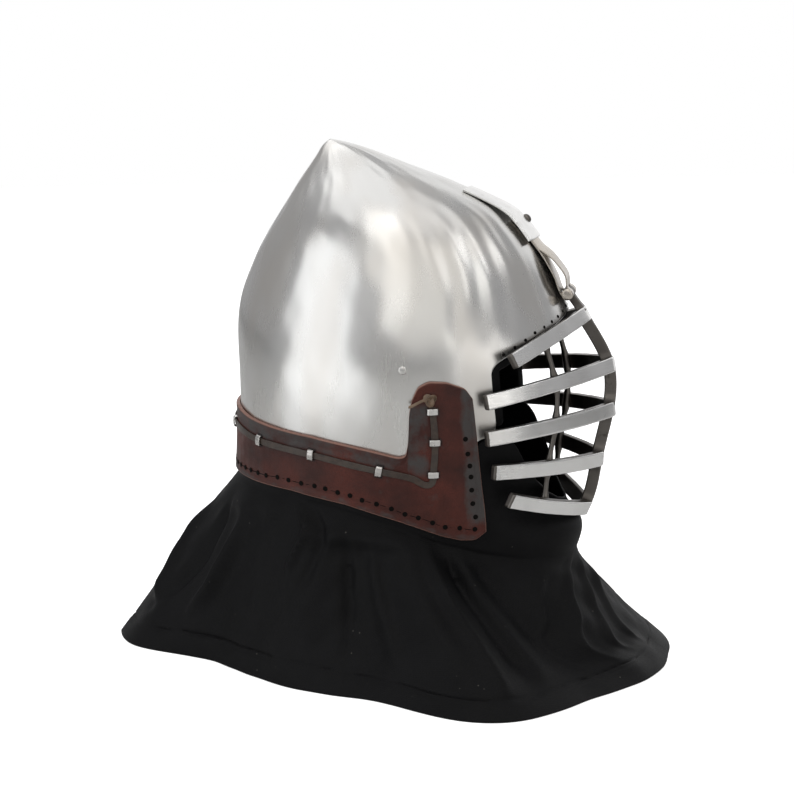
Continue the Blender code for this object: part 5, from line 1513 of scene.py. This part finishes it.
def strap_shell(route, crease, low_x, high_x, end_radius):
    """Part of the strap between two sideways places: at each point of its line a strip goes across, falls
    with the crest by a bell and a parabola, and has rounded edges."""
    runs = run_lengths(route)
    along = directions(route)
    out = np.column_stack([along[:, 1], -along[:, 0]])
    width = high_x - low_x
    edge = np.array([0.0, 0.0001, 0.0003, 0.0006])
    across = low_x + np.concatenate([edge, np.linspace(0.0012, width - 0.0012, 22), width - edge[::-1]])
    near = np.minimum(across - low_x, high_x - across)
    ends = np.minimum(runs, runs[-1] - runs)[:, None] if end_radius else 1.0
    half = STRAP_THICKNESS / 2 - round_in(np.minimum(near, ends), 0.0005) * 0.98
    fall = CREST_HEIGHT * (1 - bell(across, CREST_WIDTH)) + across**2 / (2 * CREST_SIDE_RADIUS)
    crest_out = skull_normal(0.0, STRAP_TOP)[1:]
    faces = []
    for side in (-1, 1):
        grid = np.empty((len(route), len(across), 3))
        grid[:, :, 0] = across
        shift = out[:, None, :] * (side * half[..., None] * np.ones((len(route), 1, 1)))
        grid[:, :, 1:] = route[:, None, :] + shift - (crease[:, None] * fall)[:, :, None] * crest_out
        faces.append(grid)
    return sheet(faces[0], faces[1])


def make_hinge_strap():
    """Strap folded in two round the pin. Where its line is near the pin only two ears are left, one on each
    side of the visor's knuckle."""
    route, crease = strap_line()
    reach = PIN_DIAMETER / 2 + PIN_CLEARANCE + STRAP_THICKNESS + NOTCH_CLEARANCE
    near = np.where(np.linalg.norm(route - (PIN_Y, PIN_Z), axis=1) < reach)[0]
    first, last = near[0], near[-1]
    half, notch = STRAP_WIDTH / 2, KNUCKLE_LENGTH / 2 + KNUCKLE_SIDE_CLEARANCE
    loop = slice(first - 2, last + 3)
    parts = (
        (slice(first + 1), -half, half, True),
        (slice(last, None), -half, half, True),
        (loop, -half, -notch, False),
        (loop, notch, half, False),
    )
    shells = [strap_shell(route[part], crease[part], *rest) for part, *rest in parts]
    strap = put_mesh("hinge_strap_steel", shells, "strap_steel", "bright_steel")
    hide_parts("hinge_strap")


def turned(profile, columns):
    """Shell of a profile of sideways places and radii, turned about the hinge's axis, with a tip at each
    end of the axis."""
    turn = np.linspace(0.0, 2 * math.pi, columns, endpoint=False)
    rows = np.empty((len(profile), columns, 3))
    rows[..., 0] = profile[:, :1]
    rows[..., 1] = PIN_Y + profile[:, 1:] * np.cos(turn)
    rows[..., 2] = PIN_Z + profile[:, 1:] * np.sin(turn)
    ends = [np.array([x, PIN_Y, PIN_Z]) for x in (profile[0, 0] - 0.00015, profile[-1, 0] + 0.00015)]
    return bowl(ends[0], rows, ends[1])


def make_hinge_pin():
    """Pin: a shank with a peened head on each end, its rim rounded and its face a little domed."""
    inside = STRAP_WIDTH / 2 + GAP
    outside, head = inside + PIN_HEAD_LENGTH, PIN_HEAD_DIAMETER / 2
    steps = [(outside, head * 0.45), (outside - 0.0001, head * 0.72), (outside - 0.0004, head * 0.86)]
    steps += [(outside - 0.0009, head * 0.96), (outside - 0.0014, head), (inside + 0.0002, head)]
    steps += [(inside, head - 0.0002), (inside, PIN_DIAMETER / 2)]
    right = np.array(steps)
    profile = np.concatenate([right * (-1, 1), right[::-1]])
    pin = put_mesh("hinge_pin_steel", [turned(profile, 40)], "strap_steel", "bright_steel", sharp=50)
    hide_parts("hinge_pin")


# Visor


def bar_line(bar):
    """Half a bar in its own plane: distances from the nose, and the sideways and backward distances along
    an arc whose angle off the centre line falls evenly from the nose to the end, after a short rounding."""
    nose_angle, end_angle, length = bar[3], bar[4], bar[5] * SKULL_WIDTH / 2
    fine = np.linspace(0.0, length, 400)
    angle = np.radians(nose_angle + (end_angle - nose_angle) * fine / length)
    angle = np.pi / 2 + (angle - np.pi / 2) * np.clip(fine / NOSE_ROUNDING, 0, 1)
    step = fine[1] - fine[0]
    aside = np.concatenate([[0.0], np.cumsum(np.sin(angle[1:]) * step)])
    behind = np.concatenate([[0.0], np.cumsum(np.cos(angle[1:]) * step)])
    return fine, aside, behind


def bar_shell(bar, number):
    """One bar: a rectangle with rounded edges along its arc, the arc repeated on both sides, with slight
    hammering of its width, and rounded ends. Gives the shell and the mark of its front face."""
    sizes = bpy.context.scene.bascinet_sizes
    fine, aside, behind = bar_line(bar)
    half_length = fine[-1]
    ends = half_length - np.array([0.0, 0.0001, 0.0003, 0.0006, 0.0010, 0.0014])[::-1]
    places = np.concatenate([np.linspace(0, 0.010, 9), np.linspace(0.0115, half_length - 0.002, 70), ends])
    aside, behind = np.interp(places, fine, aside), np.interp(places, fine, behind)
    aside = np.concatenate([-aside[::-1], aside[1:]])
    behind = np.concatenate([behind[::-1], behind[1:]])
    tilt = math.radians(bar[2])
    back = np.array([0.0, math.cos(tilt), math.sin(tilt)])
    upward = np.array([0.0, -math.sin(tilt), math.cos(tilt)])
    nose = np.array([0.0, *in_profile(*bar[:2])])
    line = nose + aside[:, None] * (1.0, 0.0, 0.0) + behind[:, None] * back
    inward = unit(np.cross(upward, directions(line)))
    run = np.concatenate([-places[::-1], places[1:]])
    hammer = 1 - 0.012 * (1 + np.sin(run * 310 + number) * np.sin(run * 140 + 2 * number))[:, None]
    half_depth, edge = sizes.bar_thickness / 2, sizes.bar_edge
    section = rounded_outline(sizes.bar_height / 2, half_depth, edge, 5, 0.0006)
    middle = line + inward * BAR_THICKNESS / 2
    sections = along_path(middle, upward * hammer, -inward * hammer, section, BAR_END)
    front = ease(section[:, 1], half_depth - edge * 1.05, half_depth - edge * 0.45)
    end = ease(half_length - np.abs(run), 0.0010, 0.0026)
    return swept(sections), (front[None, :] * end[:, None]).ravel()


def weld_swell(line, joints, reach, share):
    """Growth of a rod or the spine close to the bars it is welded to: one plus a bell of the distance."""
    away = np.linalg.norm(line[:, None, :] - joints[None], axis=-1).min(axis=1)
    return 1 + share * bell(np.maximum(away - reach, 0.0), 0.0042)


def spine_shell():
    """Spine: a rectangle on edge carried along a curve through the bars' noses, swelling at each weld."""
    noses = np.array([in_profile(*bar[:2]) for bar in VISOR_BARS])
    knots = np.concatenate([noses[:1] + SPINE_TOP, noses, noses[-1:] + SPINE_FOOT])
    runs = run_lengths(knots)
    line = natural_spline(runs, knots)(end_places(150, runs[-1], SPINE_END))
    along = directions(line)
    back = np.column_stack([-along[:, 1], along[:, 0]])
    middle = line + back * (SPINE_SETBACK + SPINE_DEPTH / 2)
    flat = np.zeros(len(middle))
    path, rise = np.column_stack([flat, middle]), np.column_stack([flat, -back])
    across = np.array([1.0, 0.0, 0.0]) * weld_swell(line, noses, BAR_HEIGHT / 2, 0.55)[:, None]
    section = rounded_outline(SPINE_WIDTH / 2, SPINE_DEPTH / 2, 0.001, 4, 0.0004)
    return swept(along_path(path, across, rise, section, SPINE_END))


def bar_point_at(bar, spread, depth):
    """Point of a bar at a sideways distance, a depth inward from its outer face."""
    nose_y, nose_z = in_profile(*bar[:2])
    place, ahead = np.interp([spread, spread + 0.002], *bar_line(bar)[1:])
    turn, tilt = math.atan2(ahead - place, 0.002), math.radians(bar[2])
    x, back = spread - depth * math.sin(turn), place + depth * math.cos(turn)
    return np.array([x, nose_y + back * math.cos(tilt), nose_z + back * math.sin(tilt)])


def rod_shell(side):
    """Inner rod: a round section along a curve through its place on each bar, swelling at each weld."""
    depth = BAR_THICKNESS + ROD_DIAMETER / 2 - WELD_DEPTH
    marks = np.array([bar_point_at(bar, ROD_SPREAD, depth) for bar in VISOR_BARS]) * (side, 1, 1)
    first = marks[0] + (marks[0] - marks[1]) * ROD_TOP_OVERRUN
    last = marks[-1] + (marks[-1] - marks[-2]) * ROD_FOOT_OVERRUN
    knots = np.concatenate([[first], marks, [last]])
    runs = run_lengths(knots)
    line = natural_spline(runs, knots)(end_places(110, runs[-1], ROD_END))
    along = directions(line)
    across = unit(np.cross(along, (0.0, 1.0, 0.0)))
    grow = weld_swell(line, marks, BAR_HEIGHT / 2 - 0.001, 0.5)[:, None]
    radius = ROD_DIAMETER / 2
    section = rounded_outline(radius, radius, radius - 1e-5, 6)
    return swept(along_path(line, across * grow, np.cross(along, across) * grow, section, ROD_END))


def knuckle_shells(nose):
    """Knuckle: a rounded rectangle turned into a ring round the pin; and the bracket from it to the first
    bar, a rounded rectangle that widens into the bar along a bell."""
    outer, bore = PIN_DIAMETER / 2 + PIN_CLEARANCE + STRAP_THICKNESS, PIN_DIAMETER / 2 + PIN_CLEARANCE
    section = rounded_outline(KNUCKLE_LENGTH / 2, (outer - bore) / 2, 0.0004, 4)
    turn = np.linspace(0.0, 2 * math.pi, 48, endpoint=False)[:, None]
    radius = (outer + bore) / 2 + section[:, 1]
    ring = np.empty((48, len(section), 3))
    ring[..., 0] = section[:, 0]
    ring[..., 1], ring[..., 2] = PIN_Y + radius * np.cos(turn), PIN_Z + radius * np.sin(turn)
    pin = np.array([PIN_Y, PIN_Z])
    foot = nose + (BAR_THICKNESS * BRACKET_SEAT, 0.0)
    run = unit(foot - pin)
    share = np.linspace(0, 1, 24)[:, None]
    start = pin + run * (outer - BRACKET_INSET)
    line = start + (foot - start) * share
    path = np.column_stack([np.zeros(24), line])
    across = np.array([1.0, 0.0, 0.0]) * (1 + 0.35 * bell(1 - share, 0.35))
    rise = np.array([0.0, -run[1], run[0]]) * (1 + 0.25 * bell(1 - share, 0.3))
    outline = rounded_outline(BRACKET_WIDTH / 2, BRACKET_THICKNESS / 2, 0.0012, 4, 0.0004)
    return [closed_grid(ring), swept(along_path(path, across, rise, outline))]


def make_visor():
    """Grille: the five bars, the spine, the two rods, the knuckle and its bracket, welded to one piece."""
    bars, fronts = zip(*(bar_shell(bar, number) for number, bar in enumerate(VISOR_BARS)))
    nose = np.array(in_profile(*VISOR_BARS[0][:2]))
    others = (spine_shell(), rod_shell(-1), rod_shell(1), *knuckle_shells(nose))
    front = np.concatenate([*fronts, *(np.zeros(len(shell[0])) for shell in others)])
    marks = {"front": front}
    visor = put_mesh("visor_bars", bars + others, "ground_bars", "bar_steel", "visor", marks=marks)
    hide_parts("visor_grille")


# Stage


def aimed(place, target):
    """Rotation and place of a camera or light that looks from one point at another."""
    turn = (Vector(target) - Vector(place)).to_track_quat("-Z", "Y")
    return Matrix.Translation(place) @ turn.to_matrix().to_4x4()


def make_camera():
    """Camera at a distance from its target, by its turn off the wearer's right side and its height."""
    studio = bpy.context.scene.bascinet_studio
    turn, rise = studio.camera_turn, studio.camera_rise
    away = Vector((-math.cos(turn) * math.cos(rise), -math.sin(turn) * math.cos(rise), math.sin(rise)))
    place = Vector(CAMERA_TARGET) + away * studio.camera_distance
    data = bpy.data.cameras.new("camera")
    data.sensor_width, data.lens = 36.0, studio.camera_lens
    camera = add_object("camera", data)
    camera.matrix_world = aimed(place, CAMERA_TARGET)
    bpy.context.scene.camera = camera


def make_lights():
    """Soft boxes, each a rectangle of light aimed at the helmet."""
    share = bpy.context.scene.bascinet_studio.light_share
    for name, place, target, width, height, power, colour in SOFT_BOXES:
        data = bpy.data.lights.new(name, "AREA")
        data.shape, data.size, data.size_y = "RECTANGLE", width, height
        data.energy = power * share
        data.color = colour
        light = add_object(name, data)
        light.matrix_world = aimed(place, target)
        light.visible_camera = False


def make_world():
    """White behind the helmet, an even grey in its reflections, and a dimmer one for the light it gives."""
    world = bpy.data.worlds.new("studio")
    world.use_nodes = True
    tree = world.node_tree
    seen = tree.nodes["Background"]
    seen.inputs["Color"].default_value = (1.0, 1.0, 1.0, 1.0)
    path = tree.nodes.new("ShaderNodeLightPath")
    level = bpy.context.scene.bascinet_studio.room_level
    shown = seen.outputs[0]
    for ray, share in (("Is Glossy Ray", 1.0), ("Is Diffuse Ray", 0.35)):
        dim = tree.nodes.new("ShaderNodeBackground")
        dim.inputs["Color"].default_value = (level * share, level * share, level * share * 1.02, 1.0)
        choice = tree.nodes.new("ShaderNodeMixShader")
        tree.links.new(path.outputs[ray], choice.inputs[0])
        tree.links.new(shown, choice.inputs[1])
        tree.links.new(dim.outputs[0], choice.inputs[2])
        shown = choice.outputs[0]
    tree.links.new(shown, tree.nodes["World Output"].inputs["Surface"])
    bpy.context.scene.world = world


def make_floor():
    """Floor, a little under the hem: rings of the hem's own outline, shrunk and grown by shares, round one
    point in the middle. Those inside the hem are marked, for their shadow."""
    turn = np.linspace(0.0, 360.0, 240, endpoint=False)
    hem = aventail_surface(turn, 2, np.array([0.5, 1.0]))[-1]
    shares = np.array([0.3, 0.6, 0.9, 0.988, 1.0, 1.3, 2.0, 4.0, 8.0, 16.0, 30.0])
    rings = hem * (1.0, 1.0, 0.0) * shares[:, None, None] - (0.0, 0.0, 0.0002)
    points = np.concatenate([[(0.0, 0.0, -0.0002)], rings.reshape(-1, 3)])
    faces = grid_quads(len(shares), len(turn), 1).tolist() + ring_fan(0, 1 + np.arange(len(turn))).tolist()
    mesh = bpy.data.meshes.new("floor")
    mesh.from_pydata(points.tolist(), [], faces)
    inside = np.concatenate([[1.0], np.repeat(shares < 1.0, len(turn))])
    mesh.attributes.new("inside", "FLOAT", "POINT").data.foreach_set("value", inside.astype(np.float32))
    mesh.shade_smooth()
    mesh.materials.append(finish("pale_floor"))
    add_object("floor", mesh)


def set_view():
    """Plain view of the colours, so that the white of the room stays white."""
    bpy.context.scene.view_settings.view_transform = "Standard"


# Panel


class BascinetSizes(bpy.types.PropertyGroup):
    """Sizes that may be changed without leaving the solids' clearances."""

    flute_depth: FloatProperty(
        name="Flute depth", description="Depth of the flutes beside the crest", default=0.0003, min=0.0,
        max=0.001, precision=5, unit="LENGTH"
    )
    hammer_depth: FloatProperty(
        name="Hammering", description="Depth of the hammered waves of the skull", default=0.00010,
        min=0.0, max=0.0005, precision=5, unit="LENGTH"
    )
    brow_hole: FloatProperty(
        name="Brow hole", description="Diameter of the sewing holes along the brow", default=0.0026,
        min=0.001, max=0.004, precision=4, unit="LENGTH"
    )
    band_hole: FloatProperty(
        name="Band hole", description="Diameter of the sewing holes of the leather band", default=0.0039,
        min=0.001, max=0.004, precision=4, unit="LENGTH"
    )
    lace_width: FloatProperty(
        name="Lace width", description="Width of the lace, which has to pass the staples",
        default=LACE_WIDTH, min=0.003, max=0.0058, precision=4, unit="LENGTH"
    )
    bar_height: FloatProperty(
        name="Bar height", description="Height of the front face of a visor bar", default=BAR_HEIGHT,
        min=0.008, max=0.0125, precision=4, unit="LENGTH"
    )
    bar_thickness: FloatProperty(
        name="Bar thickness", description="Thickness of a visor bar", default=BAR_THICKNESS, min=0.004,
        max=0.0065, precision=4, unit="LENGTH"
    )
    bar_edge: FloatProperty(
        name="Bar edge", description="Radius of the worn edges of a visor bar", default=0.0011,
        min=0.0003, max=0.002, precision=4, unit="LENGTH"
    )


class BascinetColours(bpy.types.PropertyGroup):
    """Colours of the finishes."""

    steel: FloatVectorProperty(
        name="Skull steel", description="Colour of the polished skull", default=(0.60, 0.595, 0.58),
        min=0.0, max=1.0, subtype="COLOR"
    )
    bright_steel: FloatVectorProperty(
        name="Bright steel", description="Colour of staples, strap and ground faces",
        default=(0.74, 0.735, 0.72), min=0.0, max=1.0, subtype="COLOR"
    )
    bar_steel: FloatVectorProperty(
        name="Bar steel", description="Colour of the forged sides of the visor",
        default=(0.13, 0.12, 0.11), min=0.0, max=1.0, subtype="COLOR"
    )
    leather: FloatVectorProperty(
        name="Leather", description="Colour of the band", default=(0.086, 0.0175, 0.0105), min=0.0,
        max=1.0, subtype="COLOR"
    )
    worn_leather: FloatVectorProperty(
        name="Worn leather", description="Colour of the band where it is rubbed",
        default=(0.050, 0.048, 0.047), min=0.0, max=1.0, subtype="COLOR"
    )
    lace: FloatVectorProperty(
        name="Lace", description="Colour of the lace", default=(0.044, 0.027, 0.018), min=0.0, max=1.0,
        subtype="COLOR"
    )
    knot: FloatVectorProperty(
        name="Knot", description="Colour of the lace's knotted ends", default=(0.135, 0.082, 0.046),
        min=0.0, max=1.0, subtype="COLOR"
    )
    cloth: FloatVectorProperty(
        name="Cloth", description="Colour of the aventail and the lining",
        default=(0.0028, 0.0028, 0.0031), min=0.0, max=1.0, subtype="COLOR"
    )


class BascinetStudio(bpy.types.PropertyGroup):
    """Camera, light and floor."""

    camera_turn: FloatProperty(
        name="Camera turn", description="Turn from the wearer's right side to the face",
        default=math.radians(8.8), subtype="ANGLE"
    )
    camera_rise: FloatProperty(
        name="Camera rise", description="Height angle of the camera", default=math.radians(10.0),
        subtype="ANGLE"
    )
    camera_distance: FloatProperty(
        name="Camera distance", description="Distance from camera to helmet", default=1.9, min=1.0,
        unit="LENGTH"
    )
    camera_lens: FloatProperty(name="Lens", description="Focal length", default=106.82, min=1.0)
    light_share: FloatProperty(
        name="Light", description="Strength of all soft boxes together", default=1.0, min=0.0
    )
    room_level: FloatProperty(
        name="Room light", description="Grey level of the room around", default=0.45, min=0.0
    )
    floor_colour: FloatVectorProperty(
        name="Floor", description="Colour of the floor", default=(0.88, 0.88, 0.88), min=0.0, max=1.0,
        subtype="COLOR"
    )


class BASCINET_OT_skull(bpy.types.Operator):
    """Make the steel skull"""

    bl_idname = "bascinet.skull"
    bl_label = "Skull"

    def execute(self, context):
        make_skull()
        return {"FINISHED"}


class BASCINET_OT_liner(bpy.types.Operator):
    """Make the padded liner"""

    bl_idname = "bascinet.liner"
    bl_label = "Liner"

    def execute(self, context):
        make_liner()
        return {"FINISHED"}


class BASCINET_OT_details(bpy.types.Operator):
    """Make the lining rivets and the sewing holes of the brow"""

    bl_idname = "bascinet.details"
    bl_label = "Rivets and brow holes"

    def execute(self, context):
        make_steel_details()
        return {"FINISHED"}


class BASCINET_OT_leather_band(bpy.types.Operator):
    """Make the leather band and its sewing"""

    bl_idname = "bascinet.leather_band"
    bl_label = "Leather band"

    def execute(self, context):
        make_leather_band()
        make_band_stitching()
        return {"FINISHED"}


class BASCINET_OT_staples(bpy.types.Operator):
    """Make the staples that hold the lace"""

    bl_idname = "bascinet.staples"
    bl_label = "Staples"

    def execute(self, context):
        make_staples()
        return {"FINISHED"}


class BASCINET_OT_lace(bpy.types.Operator):
    """Make the lace and its knotted ends"""

    bl_idname = "bascinet.lace"
    bl_label = "Lace"

    def execute(self, context):
        make_lace()
        make_knot(1, "right")
        make_knot(-1, "left")
        return {"FINISHED"}


class BASCINET_OT_aventail(bpy.types.Operator):
    """Make the cloth aventail"""

    bl_idname = "bascinet.aventail"
    bl_label = "Aventail"

    def execute(self, context):
        make_aventail()
        return {"FINISHED"}


class BASCINET_OT_brow_plate(bpy.types.Operator):
    """Make the brow plate and its rivet"""

    bl_idname = "bascinet.brow_plate"
    bl_label = "Brow plate"

    def execute(self, context):
        make_brow_plate()
        make_brow_rivet()
        return {"FINISHED"}


class BASCINET_OT_hinge(bpy.types.Operator):
    """Make the hinge strap and its pin"""

    bl_idname = "bascinet.hinge"
    bl_label = "Hinge"

    def execute(self, context):
        make_hinge_strap()
        make_hinge_pin()
        return {"FINISHED"}


class BASCINET_OT_visor(bpy.types.Operator):
    """Make the bar visor"""

    bl_idname = "bascinet.visor"
    bl_label = "Visor"

    def execute(self, context):
        make_visor()
        return {"FINISHED"}


class BASCINET_OT_stage(bpy.types.Operator):
    """Make the camera, the lights, the room and the floor"""

    bl_idname = "bascinet.stage"
    bl_label = "Stage"

    def execute(self, context):
        make_camera()
        make_lights()
        make_world()
        make_floor()
        set_view()
        return {"FINISHED"}


OPERATORS = (
    BASCINET_OT_skull,
    BASCINET_OT_liner,
    BASCINET_OT_details,
    BASCINET_OT_leather_band,
    BASCINET_OT_staples,
    BASCINET_OT_lace,
    BASCINET_OT_aventail,
    BASCINET_OT_brow_plate,
    BASCINET_OT_hinge,
    BASCINET_OT_visor,
    BASCINET_OT_stage,
)


class BASCINET_PT_panel(bpy.types.Panel):
    """Sizes, colours and makers of the bascinet."""

    bl_idname = "BASCINET_PT_panel"
    bl_label = "Bascinet"
    bl_space_type = "VIEW_3D"
    bl_region_type = "UI"
    bl_category = "Bascinet"

    def draw(self, context):
        for label in GROUPS:
            settings = getattr(context.scene, label)
            box = self.layout.box()
            for name in settings.__annotations__:
                box.prop(settings, name)
        for made in OPERATORS:
            self.layout.operator(made.bl_idname)


GROUPS = {
    "bascinet_sizes": BascinetSizes,
    "bascinet_colours": BascinetColours,
    "bascinet_studio": BascinetStudio,
}
CLASSES = (*GROUPS.values(), *OPERATORS, BASCINET_PT_panel)


def register():
    """Makes the classes known, and gives the scene its groups of sizes and colours."""
    for made in CLASSES:
        bpy.utils.register_class(made)
    for label, group in GROUPS.items():
        setattr(bpy.types.Scene, label, bpy.props.PointerProperty(type=group))


def unregister():
    """Takes back what register did."""
    for label in GROUPS:
        delattr(bpy.types.Scene, label)
    for made in reversed(CLASSES):
        bpy.utils.unregister_class(made)


def main():
    """Registers the add-on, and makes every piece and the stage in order."""
    register()
    for made in OPERATORS:
        getattr(bpy.ops.bascinet, made.bl_idname.split(".")[1])()


if __name__ == "__main__":
    main()
